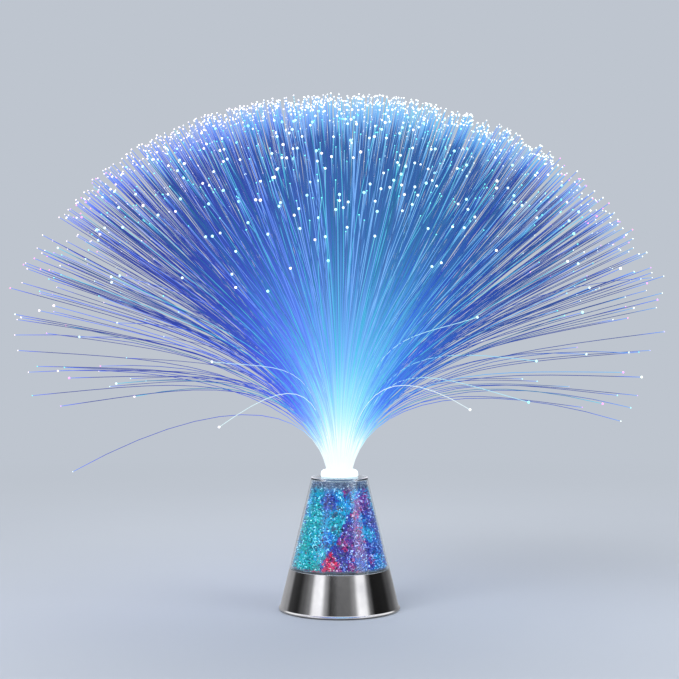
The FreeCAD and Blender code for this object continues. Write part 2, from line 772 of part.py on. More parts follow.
def crystal_corner(ring, rings, step, layer):
    """A corner of the lattice that the crystals share, on its ring, step round and layer boundary."""
    gap = value("crystal_gap")
    low = value("floor_top") + gap
    high = value("ceiling - crystal_top_space")
    share = value("wander_share")
    # Corners on the wall wander alike, however many rings a layer has
    number = 31 * layer + 17 * (WIDE_RINGS if ring == rings else ring) + step % CRYSTALS_ROUND
    height = low + (high - low) * layer / CRYSTAL_LAYERS
    turn = 2 * math.pi / CRYSTALS_ROUND
    # Far enough out for the flat between two corners to clear the tube
    inner = (value("tube_radius") + gap) / math.cos(turn * (1 + share) / 2)
    outer = value(cone(height, "chamber_wall")) - gap
    radius = inner + (outer - inner) * ring / rings
    angle = turn * (step - 0.5 * layer) + share * turn * scatter(number)
    # Corners on the tube and the wall stay on them, and so do those on the floor
    if 0 < ring < rings:
        radius += share * (outer - inner) * scatter(number + 5) / rings
    if 0 < layer < CRYSTAL_LAYERS:
        # Under the wider crystals of the upper layers, a corner between rings keeps to its lowest
        part = -0.5 if layer == WIDE_LAYERS and 0 < ring < rings else scatter(number + 11)
        rise = share * (high - low) * part / CRYSTAL_LAYERS
        height += rise
        radius -= value("cone_slope") * max(rise, 0)
    return FreeCAD.Vector(radius * math.cos(angle), radius * math.sin(angle), height)


def crystal(ring, rings, step, layer):
    """One chunk: a twisted box between eight lattice corners, drawn in towards its middle."""
    corners = {}
    for out in (0, 1):
        for turn in (0, 1):
            for up in (0, 1):
                corners[out, turn, up] = crystal_corner(ring + out, rings, step + turn, layer + up)
    middle = FreeCAD.Vector()
    for corner in corners.values():
        middle += corner * (1 / 8)
    shrink = value("crystal_share")
    corners = {key: middle + (corner - middle) * shrink for key, corner in corners.items()}
    triangles = []
    for fixed in range(3):
        for side in (0, 1):
            first, second = [axis for axis in range(3) if axis != fixed]

            def at(a, b):
                key = [0, 0, 0]
                key[fixed], key[first], key[second] = side, a, b
                return corners[tuple(key)]

            triangles.append((at(0, 0), at(1, 0), at(1, 1)))
            triangles.append((at(0, 0), at(1, 1), at(0, 1)))
    return triangle_solid(triangles)


def crystals():
    for layer in range(CRYSTAL_LAYERS):
        rings = WIDE_RINGS if layer < WIDE_LAYERS else 1
        chunks = []
        for ring in range(rings):
            for step in range(CRYSTALS_ROUND):
                chunks.append(crystal(ring, rings, step, layer))
        piece = doc.addObject("Part::Feature", f"CrystalsLayer{layer + 1}")
        piece.Shape = Part.makeCompound(chunks)
        piece.Placement = FreeCAD.Placement()
        keep(piece, f"crystals_layer_{layer + 1}")


# ---------------------------------------------------------------- spray


def spray_ferrule():
    """Sleeve round the potted fibres, with the collar that seats on the chamber."""
    body = new_body("spray_ferrule")
    corners = [
        ("bundle_radius", "ferrule_bottom"),
        ("ferrule_radius", "ferrule_bottom"),
        ("ferrule_radius", "collar_seat"),
        ("collar_radius", "collar_seat"),
        ("collar_radius", "collar_top - collar_shoulder"),
        ("ferrule_radius + collar_brim", "collar_top"),
        ("bundle_radius", "collar_top"),
    ]
    revolve(body, outline(body, "FerruleSection", "XZ_Plane", corners))


def bundle_root():
    """The fibres' lower ends, potted to one rod inside the ferrule."""
    root = cylinder("BundleRoot", "bundle_radius", "root_top - ferrule_bottom", "0", "0", "ferrule_bottom")
    keep(root, "bundle_root")


def tip_lean(part, azimuth):
    """Degrees that a tip leans, for a fibre at that part of the root's radius.

    Tips spread as chance spreads them, so the share of them within a lean L is 1 - exp(-(L / spread)^2 / 2).
    """
    lean = value("spread_angle") * math.sqrt(-2 * math.log(1 - value("rim_share") * part**2))
    lean += value("flare_share") * max(lean - value("flare_angle"), 0)
    from_front = math.degrees(math.asin(abs(math.cos(azimuth))))
    clear = min(max((from_front - value("sector_angle")) / value("fade_angle - sector_angle"), 0), 1)
    held = value("open_share") * (1 - clear * clear * (3 - 2 * clear))
    return lean - held * max(lean - value("open_angle"), 0)


def fibre_line(ring, step, count, azimuth):
    """Points along one fibre in its own upright plane, as (distance from the axis, height).

    The lean grows fast near the collar and then ever more slowly: at the share t of the length it has
    covered 1 - (1 - t)^3 of the way from its first to its last value.
    """
    share = ring / FIBRE_RINGS
    # Opposite fibres match, so the spray stays centred
    half_turn = step % max(count // 2, 1)
    wander = value("lean_share")
    off = wander * scatter(LEAN_STRIDE * half_turn + 3 * ring + LEAN_START)
    lean = tip_lean((ring + off) / (FIBRE_RINGS + wander / 2), azimuth) if ring else 0
    first = value("neck_angle") * share
    # The mean lean along the fibre is a quarter of the first and three quarters of the last
    last = (lean - 0.25 * first) / 0.75
    sag = max(lean - value("droop_angle"), 0) * value("droop_share")
    shorter = value("trim_share") * (0.5 + scatter(2 * half_turn + ring)) if ring else 0
    reach = value("fibre_reach") * (1 - sag) * (1 - shorter)

    segments = FIBRE_SEGMENTS + (1 if ring > FIBRE_RINGS - BENT_RINGS else 0)
    fine = 12
    outward = upward = 0.0
    knots = [(0.0, 0.0)]
    for segment in range(segments):
        start, end = (segment / segments) ** 1.4, ((segment + 1) / segments) ** 1.4
        for part in range(fine):
            t = start + (end - start) * (part + 0.5) / fine
            angle = math.radians(first + (last - first) * (1 - (1 - t) ** 3))
            outward += math.sin(angle) * (end - start) / fine
            upward += math.cos(angle) * (end - start) / fine
        knots.append((outward, upward))
    scale = reach / math.hypot(outward, upward)
    base = share * value("bundle_radius - fibre_width - rim_space")
    return [(base + x * scale, value("root_top") + z * scale) for x, z in knots]


def fibre_solid(line, azimuth):
    """A three-sided rod along a line in an upright plane, mitred at its bends and level at its foot."""
    width = value("fibre_width")
    section = ((width / 2, -width / 3), (-width / 2, -width / 3), (0.0, 2 * width / 3))
    normals = []
    for (x0, z0), (x1, z1) in zip(line, line[1:]):
        length = math.hypot(x1 - x0, z1 - z0)
        normals.append(((z1 - z0) / length, (x0 - x1) / length))
    mitres = [(1 / normals[0][0], 0.0)]
    for (a, b), (c, d) in zip(normals, normals[1:]):
        spread = 1 + a * c + b * d
        mitres.append(((a + c) / spread, (b + d) / spread))
    mitres.append(normals[-1])

    cos, sin = math.cos(azimuth), math.sin(azimuth)
    rings = []
    for (x, z), (mx, mz) in zip(line, mitres):
        ring = []
        for across, out in section:
            radial = x + out * mx
            ring.append(FreeCAD.Vector(radial * cos - across * sin, radial * sin + across * cos, z + out * mz))
        rings.append(ring)
    faces = [Part.Face(Part.makePolygon(rings[0] + rings[0][:1]))]
    faces.append(Part.Face(Part.makePolygon(rings[-1] + rings[-1][:1])))
    for low, high in zip(rings, rings[1:]):
        for a in range(3):
            b = (a + 1) % 3
            faces.append(Part.Face(Part.makePolygon([low[a], low[b], high[b], high[a], low[a]])))
    solid = Part.Solid(Part.Shell(faces))
    if solid.Volume < 0:
        solid.reverse()
    return solid


def fibres():
    """Rings of fibres standing on the potted root, six more in each ring than in the one inside it."""
    for ring in range(FIBRE_RINGS + 1):
        count = max(6 * ring, 1)
        rods = []
        for step in range(count):
            azimuth = 2 * math.pi * (step + 0.5 * (ring % 2)) / count
            rods.append(fibre_solid(fibre_line(ring, step, count, azimuth), azimuth))
        piece = doc.addObject("Part::Feature", f"FibresRing{ring}")
        piece.Shape = Part.makeCompound(rods)
        piece.Placement = FreeCAD.Placement()
        keep(piece, f"fibres_ring_{ring}")


# ---------------------------------------------------------------- assembly

metal_skirt()
inner_frame()
bottom_cover()
feet()
battery_door()
batteries()
contacts()
led_board()
leds()
board_chips()
switch_body()
switch_knob()
switch_terminals()
cover_screws()
crystal_chamber()
chamber_base()
crystals()
spray_ferrule()
bundle_root()
fibres()

doc.recompute()
for item in doc.Objects:
    if "Invalid" in item.State or "Error" in item.State:
        raise RuntimeError(f"{item.Label} did not build: {item.State}")
for piece in subparts:
    if piece.Shape.isNull() or not piece.Shape.isValid() or not piece.Shape.Solids:
        raise RuntimeError(f"{piece.Label} has no sound shape")

os.makedirs("parts", exist_ok=True)
for piece in subparts:
    piece.Shape.exportStep(f"parts/{piece.Label}.step")
print(f"{len(subparts)} sub-parts written")
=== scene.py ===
"""Looks of a battery-powered fibre optic lamp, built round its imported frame.

+Z is up, and the front looks towards -Y. The lamp's classes hold their sizes in millimetres, as on a
drawing, and MM turns them into metres where a mesh is made. Finishes and the studio are in metres.
"""

import logging
import math
from collections.abc import Sequence
from dataclasses import dataclass, field
from enum import Enum
from functools import cache

import bpy
import numpy as np
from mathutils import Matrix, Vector

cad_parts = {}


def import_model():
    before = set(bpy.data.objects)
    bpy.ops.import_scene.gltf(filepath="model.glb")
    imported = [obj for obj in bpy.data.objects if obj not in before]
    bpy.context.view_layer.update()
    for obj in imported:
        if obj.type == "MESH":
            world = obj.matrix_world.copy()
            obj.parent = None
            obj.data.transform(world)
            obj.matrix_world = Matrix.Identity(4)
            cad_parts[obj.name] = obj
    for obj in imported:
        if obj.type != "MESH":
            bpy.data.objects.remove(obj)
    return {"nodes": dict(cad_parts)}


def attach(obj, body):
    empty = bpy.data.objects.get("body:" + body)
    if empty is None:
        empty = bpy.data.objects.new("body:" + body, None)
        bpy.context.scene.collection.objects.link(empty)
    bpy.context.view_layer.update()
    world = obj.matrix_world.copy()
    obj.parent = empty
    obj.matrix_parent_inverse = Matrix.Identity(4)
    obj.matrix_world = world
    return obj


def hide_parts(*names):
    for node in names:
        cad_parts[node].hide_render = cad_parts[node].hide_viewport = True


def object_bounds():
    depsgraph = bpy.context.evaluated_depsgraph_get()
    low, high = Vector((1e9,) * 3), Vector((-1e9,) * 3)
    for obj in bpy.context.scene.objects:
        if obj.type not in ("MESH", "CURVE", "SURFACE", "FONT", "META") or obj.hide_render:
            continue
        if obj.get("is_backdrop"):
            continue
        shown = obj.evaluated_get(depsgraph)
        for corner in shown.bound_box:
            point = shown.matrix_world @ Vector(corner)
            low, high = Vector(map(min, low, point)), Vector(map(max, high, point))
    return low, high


LOG = logging.getLogger("fibre_optic_lamp")
MM = 0.001
NO_LIGHT, FULL_LIGHT = (0, 0, 0), (255, 255, 255)
Array = np.ndarray
Span = tuple[float, float]
Place = tuple[float, float, float]
Colour = tuple[float, ...]
Stops = Sequence[tuple[float, Colour]]
Socket = bpy.types.NodeSocket
Feed = Socket | float | Colour


def linear(colour: Colour) -> Colour:
    """Turns a display colour into the linear light that shaders work in.

    A share c of full brightness becomes c / 12.92 up to 0.04045, and ((c + 0.055) / 1.055)^2.4 above it.

    Args:
        colour: Red, green and blue from 0 to 255, or linear light with its alpha, which stays as it is.

    Returns:
        Linear red, green and blue, and alpha.
    """
    if len(colour) == 4:
        return colour
    share = np.asarray(colour, float) / 255
    low, high = share / 12.92, ((share + 0.055) / 1.055) ** 2.4
    return (*np.where(share <= 0.04045, low, high).tolist(), 1.0)


def smooth_step(low: float, high: float, value: Array) -> Array:
    """Rises from 0 to 1 as value goes from low to high, level at both ends: 3 t^2 - 2 t^3.

    Args:
        low: Value at which the rise starts.
        high: Value at which it ends.
        value: Where it is worked out.

    Returns:
        The share risen, in value's own shape.
    """
    t = np.clip((np.asarray(value, float) - low) / (high - low), 0, 1)
    return t * t * (3 - 2 * t)


# ---------------------------------------------------------------- finishes


class Nodes:
    """A node tree, with short ways to add nodes and to join them."""

    def __init__(self, tree: bpy.types.NodeTree) -> None:
        """Takes a tree over."""
        self.tree = tree

    def feed(self, source: Feed, target: Socket) -> None:
        """Joins a socket to the target, or sets the target to something fixed.

        Args:
            source: A socket, a number, a vector or a colour.
            target: The input that it goes into.
        """
        if isinstance(source, Socket):
            self.tree.links.new(source, target)
        else:
            target.default_value = linear(source) if target.type == "RGBA" else source

    def add(
        self, kind: str, inputs: dict[int | str, Feed], output: int | str = 0, **settings: str
    ) -> Socket:
        """Adds a node and feeds it.

        Args:
            kind: The node's type, less its first part, ShaderNode.
            inputs: What goes into each of its sockets.
            output: The socket that is wanted.
            settings: The node's own choices.

        Returns:
            That output.
        """
        made = self.tree.nodes.new("ShaderNode" + kind)
        for name, value in settings.items():
            setattr(made, name, value)
        for name, source in inputs.items():
            self.feed(source, made.inputs[name])
        return made.outputs[output]

    def ramp(self, value: Socket, stops: Stops, kind: str = "LINEAR") -> Socket:
        """Turns a value into a colour.

        Args:
            value: Number from 0 to 1.
            stops: Places on the ramp and their colours.
            kind: How it goes from one to the next.

        Returns:
            The colour.
        """
        made = self.tree.nodes.new("ShaderNodeValToRGB")
        made.color_ramp.interpolation = kind
        elements = made.color_ramp.elements
        for number, (position, colour) in enumerate(stops):
            element = elements[number] if number < 2 else elements.new(position)
            element.position, element.color = position, linear(colour)
        self.feed(value, made.inputs["Fac"])
        return made.outputs["Color"]

    def blend(self, share: Feed, first: Feed, second: Feed, kind: str = "MIX") -> Socket:
        """Mixes two colours by a share."""
        inputs = {0: share, 6: first, 7: second}
        return self.add("Mix", inputs, 2, data_type="RGBA", blend_type=kind)

    def span(self, value: Socket, ends: Span = (0, 1), onto: Span = (0, 1), kind: str = "LINEAR") -> Socket:
        """Maps the numbers of one span onto another, and holds what lies beyond at its ends.

        Args:
            value: The number.
            ends: First and last number of the span that it comes from.
            onto: What they become.
            kind: How it goes between them.

        Returns:
            The number mapped.
        """
        names = ("From Min", "From Max", "To Min", "To Max")
        inputs = dict(zip(names, (*ends, *onto))) | {"Value": value}
        return self.add("MapRange", inputs, "Result", interpolation_type=kind)


class Shader(Nodes):
    """A material's nodes, round the plain principled surface."""

    def __init__(self, name: str) -> None:
        """Starts a material.

        Args:
            name: Its name.
        """
        self.material = bpy.data.materials.new(name)
        self.material.use_nodes = True
        super().__init__(self.material.node_tree)
        self.surface = self.tree.nodes["Principled BSDF"]

    def fix(self, **numbers: float) -> None:
        """Sets the surface's sockets, each named with underscores for spaces."""
        for name, value in numbers.items():
            self.surface.inputs[name.replace("_", " ")].default_value = value

    def lead(self, source: Socket, *names: str) -> None:
        """Joins a socket to the surface's sockets of those names."""
        for name in names:
            self.feed(source, self.surface.inputs[name])

    def place(self, stretch: Place = (1, 1, 1)) -> Socket:
        """Gives object coordinates in metres, scaled along each axis."""
        coordinates = self.add("TexCoord", {}, "Object")
        return self.add("Mapping", {"Vector": coordinates, "Scale": stretch})

    def noise(self, scale: float, detail: float, stretch: Place = (1, 1, 1)) -> Socket:
        """Adds a noise over the object.

        Args:
            scale: Lumps to the metre.
            detail: Octaves.
            stretch: Scale along each axis.

        Returns:
            The noise's value.
        """
        inputs = {"Scale": scale, "Detail": detail, "Vector": self.place(stretch)}
        return self.add("TexNoise", inputs, "Fac")

    def mottle(self, *stops: tuple[float, Colour], scale: float, detail: float) -> Socket:
        """Gives a colour that drifts over the object, by a ramp on a noise."""
        return self.ramp(self.noise(scale, detail), stops)

    def haze(self, low: float, high: float, scale: float, detail: float) -> None:
        """Lets the surface's roughness drift between two values, by a noise."""
        self.lead(self.span(self.noise(scale, detail), onto=(low, high)), "Roughness")

    def attribute(self, name: str) -> Socket:
        """Gives a number kept on the mesh."""
        return self.add("Attribute", {}, "Fac", attribute_name=name)

    def bump(self, height: Socket, strength: float, depth: float) -> None:
        """Raises the surface by a height map, by a share of its effect and a depth in metres."""
        self.lead(self.add("Bump", {"Strength": strength, "Distance": depth, "Height": height}), "Normal")


class Look:
    """What every finish has: a name, and nodes that it lays down."""

    name: str

    def lay(self, shader: Shader) -> None:
        """Lays the finish's nodes into a material."""
        raise NotImplementedError

    def material(self) -> bpy.types.Material:
        """Makes the material.

        Returns:
            The finished material.
        """
        shader = Shader(self.name)
        self.lay(shader)
        return shader.material


@dataclass(frozen=True)
class Metal(Look):
    """Bare or plated metal with turning marks round the lamp's axis."""

    name: str
    colour: Colour
    shade: Colour
    roughness: Span
    marks: float
    mark_depth: float = 0.00002
    mark_stretch: Place = (0.3, 0.3, 30)

    def lay(self, shader: Shader) -> None:
        """Lays clouded metal, with fine rings from noise that is long round the axis and short along it.

        Args:
            shader: The material's nodes.
        """
        shader.fix(Metallic=1.0)
        tone = shader.mottle((0.35, self.shade), (0.7, self.colour), scale=70, detail=4)
        shader.lead(tone, "Base Color")
        shader.haze(*self.roughness, scale=190, detail=5)
        rings = shader.noise(scale=260, detail=2, stretch=self.mark_stretch)
        shader.bump(rings, self.marks, self.mark_depth)


@dataclass(frozen=True)
class Moulding(Look):
    """Opaque moulded plastic or rubber, with a fine moulded grain."""

    name: str
    colour: Colour
    shade: Colour
    roughness: float
    grain: float
    grain_scale: float = 2600
    grain_depth: float = 0.00006
    smoother: float = 0.06
    rougher: float = 0.08

    def lay(self, shader: Shader) -> None:
        """Lays clouded plastic, a little smoother and rougher from place to place.

        Args:
            shader: The material's nodes.
        """
        tone = shader.mottle((0.3, self.shade), (0.7, self.colour), scale=120, detail=4)
        shader.lead(tone, "Base Color")
        shader.haze(self.roughness - self.smoother, self.roughness + self.rougher, scale=300, detail=3)
        shader.bump(shader.noise(self.grain_scale, detail=2), self.grain, self.grain_depth)


@dataclass(frozen=True)
class ClearPlastic(Look):
    """Clear moulded plastic with faint flow marks. It paints a highlight where the mesh carries a rim."""

    name: str
    tint: Colour
    roughness: float
    painted_edge_light: Colour = (86, 98, 113)
    painted_rim_highlight: Colour = (244, 242, 255)
    edge_start: float = 0.72
    rougher: float = 0.03
    flow_strength: float = 0.12
    flow_depth: float = 0.00004
    flow_stretch: Place = (1, 1, 0.3)

    def lay(self, shader: Shader) -> None:
        """Lays clear plastic, with a painted glow on its grazing edges and a painted highlight on its rim.

        Args:
            shader: The material's nodes.
        """
        shader.fix(Transmission_Weight=1.0, IOR=1.46, Emission_Strength=1.0)
        # Painted edge glow: emission that rises where the surface is seen at a grazing angle
        facing = shader.add("LayerWeight", {"Blend": 0.5}, "Facing")
        lit = shader.ramp(facing, [(0.0, NO_LIGHT), (self.edge_start, NO_LIGHT), (1.0, self.painted_edge_light)])
        # Painted highlight: near-white emission on the faces that the rim value marks
        shader.lead(shader.blend(shader.attribute("rim"), lit, self.painted_rim_highlight), "Emission Color")
        shader.lead(shader.mottle((0.3, self.tint), (0.7, FULL_LIGHT), scale=60, detail=2), "Base Color")
        shader.haze(self.roughness, self.roughness + self.rougher, scale=90, detail=3)
        flow = shader.noise(scale=140, detail=1, stretch=self.flow_stretch)
        shader.bump(flow, self.flow_strength, self.flow_depth)


@dataclass(frozen=True)
class LitCrystal(Look):
    """Crushed crystal, lit through by coloured LEDs.

    The mesh carries each chip's hue and each facet's spark: the hue picks the light's colour, and the spark
    how much of it the facet throws out, up to white, with a painted glint at its top. Where a chip is unlit,
    greys show in their place.
    """

    name: str = "lit_crystal"
    hues: Stops = (
        (0.0, (2, 178, 178)), (0.16, (2, 172, 204)), (0.32, (8, 138, 208)), (0.48, (20, 88, 190)),
        (0.62, (64, 60, 170)), (0.76, (106, 56, 160)), (0.88, (182, 46, 140)), (1.0, (240, 20, 84)),
    )
    shades: Stops = ((0.0, (34, 50, 96)), (0.25, (120, 134, 168)), (0.55, FULL_LIGHT))
    painted_glints: Stops = ((0.0, NO_LIGHT), (0.74, NO_LIGHT), (0.98, (200, 240, 250)))
    greys: Stops = (
        (0.1, (34, 48, 78)), (0.5, (74, 94, 126)), (0.7, (110, 128, 154)), (0.98, (190, 210, 226)),
    )

    def lay(self, shader: Shader) -> None:
        """Lays the hue times its shade, plus its painted glint, or the grey of an unlit chip.

        Args:
            shader: The material's nodes.
        """
        spark = shader.attribute("spark")
        hue = shader.ramp(shader.attribute("hue"), self.hues)
        shown = shader.blend(1.0, hue, shader.ramp(spark, self.shades), "MULTIPLY")
        # Painted glints: near-white light added to the facets whose spark is highest
        shown = shader.blend(1.0, shown, shader.ramp(spark, self.painted_glints), "ADD")
        shown = shader.blend(shader.attribute("unlit"), shown, shader.ramp(spark, self.greys))
        shader.lead(shown, "Emission Color", "Base Color")
        shader.fix(Emission_Strength=0.62, Roughness=0.1, IOR=1.5)


@dataclass(frozen=True)
class GlowingPlastic(Look):
    """Translucent white plastic, lit from inside: dim below the levels, and fully lit above them.

    The levels are heights in metres.
    """

    name: str
    colour: Colour
    edge: Colour
    strength: float
    dim: Colour = (150, 176, 196)
    levels: Span = (-1.0, 0.0)

    def lay(self, shader: Shader) -> None:
        """Lays a mottled glow that rises smoothly from the lower level to the upper one.

        Args:
            shader: The material's nodes.
        """
        tone = shader.mottle((0.25, self.edge), (0.6, self.colour), scale=220, detail=3)
        height = shader.add("SeparateXYZ", {"Vector": shader.place()}, "Z")
        rise = shader.span(height, self.levels, kind="SMOOTHSTEP")
        shader.lead(shader.blend(rise, self.dim, tone), "Base Color", "Emission Color")
        shader.fix(Emission_Strength=self.strength, Roughness=0.35)


@dataclass(frozen=True)
class LightFibre(Look):
    """Clear fibre that leaks some of the light it carries.

    The mesh carries the light left at each place, from 1 at the collar towards 0, and the fibre's tint.
    """

    name: str = "light_fibre"
    light: Stops = (
        (0.0, (44, 74, 130)), (0.03, (54, 88, 146)), (0.11, (74, 120, 182)), (0.18, (104, 160, 222)),
        (0.3, (132, 194, 248)), (0.44, (162, 226, 251)), (0.61, (196, 244, 252)),
        (0.78, (244, 254, 255)),
    )
    tints: Stops = (
        (0.0, (170, 146, 255)), (0.3, (196, 184, 255)), (0.5, (236, 244, 255)), (0.66, (176, 232, 244)),
        (0.76, (132, 150, 255)), (0.87, (158, 184, 246)), (0.96, (150, 255, 232)),
    )
    clearing: Stops = ((0.25, NO_LIGHT), (0.75, FULL_LIGHT))
    body: Stops = ((0.0, (24, 40, 74)), (1.0, (80, 100, 110)))

    def lay(self, shader: Shader) -> None:
        """Lays the light's colour times the tint, which clears to white where the light is strong.

        Args:
            shader: The material's nodes.
        """
        light = shader.attribute("light")
        tint = shader.ramp(shader.attribute("tint"), self.tints)
        tint = shader.blend(shader.ramp(light, self.clearing), tint, FULL_LIGHT)
        shader.lead(shader.blend(1.0, shader.ramp(light, self.light), tint, "MULTIPLY"), "Emission Color")
        shader.lead(shader.ramp(light, self.body), "Base Color")
        shader.fix(Emission_Strength=0.95, Roughness=0.25, IOR=1.49)


@dataclass(frozen=True)
class FibreTip(Look):
    """The bright cut end of a fibre. The mesh carries its hue."""

    name: str = "fibre_tip"
    hues: Stops = (
        (0.0, (255, 230, 246)), (0.2, FULL_LIGHT), (0.38, (240, 255, 240)), (0.5, (232, 253, 255)),
        (0.68, (158, 240, 250)), (0.8, (90, 226, 214)), (0.9, (196, 150, 255)), (1.0, (255, 150, 196)),
    )

    def lay(self, shader: Shader) -> None:
        """Lays the hue, glowing."""
        shader.lead(shader.ramp(shader.attribute("tint"), self.hues), "Emission Color", "Base Color")
        shader.fix(Emission_Strength=1.1, Roughness=0.3)


class Finish(Enum):
    """Every finish on the lamp."""

    POLISHED = Metal("polished_skirt", (240, 240, 242), (220, 220, 224), (0.07, 0.14), 0.2)
    PLATED = Metal("nickel_plate", (226, 222, 212), (196, 190, 178), (0.22, 0.34), 0.2)
    ZINC = Metal("zinc_plate", (206, 208, 212), (170, 172, 178), (0.28, 0.42), 0.3)
    BLACK = Moulding("black_moulding", (38, 38, 41), (27, 27, 30), 0.48, 0.35)
    DARK_GREY = Moulding("grey_moulding", (58, 58, 62), (44, 44, 48), 0.42, 0.25)
    WHITE = Moulding("white_moulding", (232, 232, 228), (214, 214, 208), 0.45, 0.2)
    RUBBER = Moulding("foot_rubber", (30, 30, 31), (20, 20, 21), 0.78, 0.5, 1500)
    JACKET = Moulding("cell_jacket", (42, 70, 118), (33, 56, 98), 0.28, 0.08)
    BOARD = Moulding("solder_mask", (26, 102, 58), (18, 80, 44), 0.32, 0.12, 900)
    CHIP = Moulding("moulded_epoxy", (26, 26, 28), (18, 18, 20), 0.55, 0.3)
    CLEAR = ClearPlastic("clear_plastic", (236, 246, 250), 0.015)
    CRYSTAL = LitCrystal()
    SLEEVE = GlowingPlastic(
        "glowing_plastic", (240, 254, 255), (214, 246, 252), 0.85, (70, 92, 122), (0.0868, 0.0874)
    )
    ROOT = GlowingPlastic("glowing_root", (244, 255, 255), (222, 250, 255), 1.0)
    LENS = GlowingPlastic("led_lens", (255, 250, 226), (240, 232, 190), 0.9)
    FIBRE = LightFibre()
    TIP = FibreTip()


@cache
def worn(finish: Finish) -> bpy.types.Material:
    """Gives the material of a finish, made on its first use."""
    return finish.value.material()


# ---------------------------------------------------------------- meshes


def round_axis(radius: Array | float, angle: Array, height: Array | float) -> Array:
    """Points round the lamp's axis: (r cos a, r sin a, z) at a radius r, an angle a and a height z."""
    return np.stack([radius * np.cos(angle), radius * np.sin(angle), height + 0 * angle], axis=-1)


def grid_quads(rows: int, columns: int, close_rows: bool = False) -> Array:
    """Quads of a grid of points that are stored row by row, where each row closes on itself.

    Each quad joins a point to the next in its row and to the same two in the next row.

    Args:
        rows: Number of rows.
        columns: Points in a row.
        close_rows: Whether the last row joins the first.

    Returns:
        Point numbers, four to a quad.
    """
    row, column = np.mgrid[: rows if close_rows else rows - 1, :columns]
    right, this, above = (column + 1) % columns, row * columns, (row + 1) % rows * columns
    return np.stack([this + column, this + right, above + right, above + column], axis=-1).reshape(-1, 4)


def copies(faces: Array, count: int, stride: int) -> Array:
    """Faces of many meshes that are alike and whose points are stored one mesh after another.

    Args:
        faces: Point numbers of the first mesh's faces.
        count: Number of meshes.
        stride: Points in each.

    Returns:
        Point numbers of all their faces.
    """
    shift = (np.arange(count) * stride)[:, None, None]
    return (faces[None] + shift).reshape(-1, faces.shape[1])


def rounded_outline(corners: Sequence[Place], steps: int = 6) -> Array:
    """A closed outline with its corners turned into arcs.

    At a corner with edges along unit vectors a and b, and radius r, the arc starts r * tan(h) back along a
    and ends as far along b, where 2 h is the angle that the outline turns by. It is drawn as a quadratic
    curve with the corner as its middle control.

    Args:
        corners: Each corner's distance from the axis, height and rounding radius, in millimetres.
        steps: Straight parts in each arc.

    Returns:
        Points of the outline, as distance and height.
    """
    points, radii = np.split(np.array(corners, float), [2], axis=1)
    before, after = np.roll(points, 1, axis=0) - points, np.roll(points, -1, axis=0) - points
    before /= np.linalg.norm(before, axis=1)[:, None]
    after /= np.linalg.norm(after, axis=1)[:, None]
    half_turn = (np.pi - np.arccos(np.clip((before * after).sum(axis=1), -1, 1))) / 2
    reach = radii * np.tan(half_turn)[:, None]
    t = np.linspace(0, 1, steps + 1)[None, :, None]
    start, end = (points + before * reach)[:, None], (points + after * reach)[:, None]
    arcs = (1 - t) ** 2 * start + 2 * t * (1 - t) * points[:, None] + t**2 * end
    return arcs.reshape(-1, 2)


def turned(corners: Sequence[Place], segments: int) -> tuple[Array, Array]:
    """Turns a closed outline, rounded at its corners, about the lamp's axis.

    Args:
        corners: The outline as rounded_outline takes it, anticlockwise with the axis on its left.
        segments: Steps round the axis.

    Returns:
        Points in metres, and quads.
    """
    outline = rounded_outline(corners)
    angle = np.linspace(0, 2 * np.pi, segments, endpoint=False)
    points = round_axis(outline[:, :1], angle, outline[:, 1:])
    return points.reshape(-1, 3) * MM, grid_quads(len(outline), segments, close_rows=True)


@dataclass
class Piece:
    """A mesh on its way into the scene.

    Its values are numbers kept on the mesh, each with the kind of element that carries it.
    """

    name: str
    points: Array
    faces: list[Array]
    body: str
    slot: str
    replaces: tuple[str, ...] = ()
    smooth: bool = True
    values: dict[str, tuple[str, Array]] = field(default_factory=dict)

    def put(self, finish: Finish) -> None:
        """Makes the object, riding on its body.

        Args:
            finish: Finish of the whole piece.
        """
        mesh = bpy.data.meshes.new(self.name)
        faces = [face for group in self.faces for face in group.tolist()]
        mesh.from_pydata(self.points.tolist(), [], faces)
        mesh.polygons.foreach_set("use_smooth", np.full(len(faces), self.smooth))
        for name, (domain, numbers) in self.values.items():
            layer = mesh.attributes.new(name, "FLOAT", domain)
            layer.data.foreach_set("value", np.asarray(numbers, np.float32))
        mesh.materials.append(worn(finish))
        mesh.update()
        thing = bpy.data.objects.new(self.name, mesh)
        bpy.context.scene.collection.objects.link(thing)
        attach(thing, self.body)
        if self.replaces:
            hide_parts(*self.replaces)
        LOG.info("%s: %d faces on %s", self.name, len(faces), self.body)


# ---------------------------------------------------------------- base


@dataclass
class Cone:
    """The cone that the skirt and the chamber share: its radius falls evenly with height."""

    base_radius: float = 39.6
    top_radius: float = 18.5
    height: float = 87.0

    def radius(self, level: Array | float, inset: float = 0.0) -> Array:
        """Radius at a level, less an inset: base - (base - top) z / height - inset."""
        slope = self.base_radius - self.top_radius
        return self.base_radius - slope * np.asarray(level) / self.height - inset


@dataclass
class Skirt:
    """Polished sheet-metal skirt with a rolled lip."""

    cone: Cone
    bottom: float = 0.8
    top: float = 27.2
    wall: float = 1.2
    lip_radius: float = 39.98
    lip_edge: float = 0.55
    flare_start: float = 2.1
    segments: int = 192

    def build(self) -> None:
        """Turns the skirt's section: a thin wall that flares to a rounded lip, with a soft edge on top."""
        cone = self.cone
        corners = [
            (cone.radius(self.bottom, self.wall), self.bottom, 0.25),
            (self.lip_radius, self.bottom, 0.25),
            (self.lip_radius, self.bottom + self.lip_edge, 0.25),
            (cone.radius(self.flare_start), self.flare_start, 0.8),
            (cone.radius(self.top), self.top, 0.3),
            (cone.radius(self.top, self.wall), self.top, 0.15),
        ]
        points, quads = turned(corners, self.segments)
        skirt = Piece("skirt_shell", points, [quads], "base", "skirt_metal", ("metal_skirt",))
        skirt.put(Finish.POLISHED)


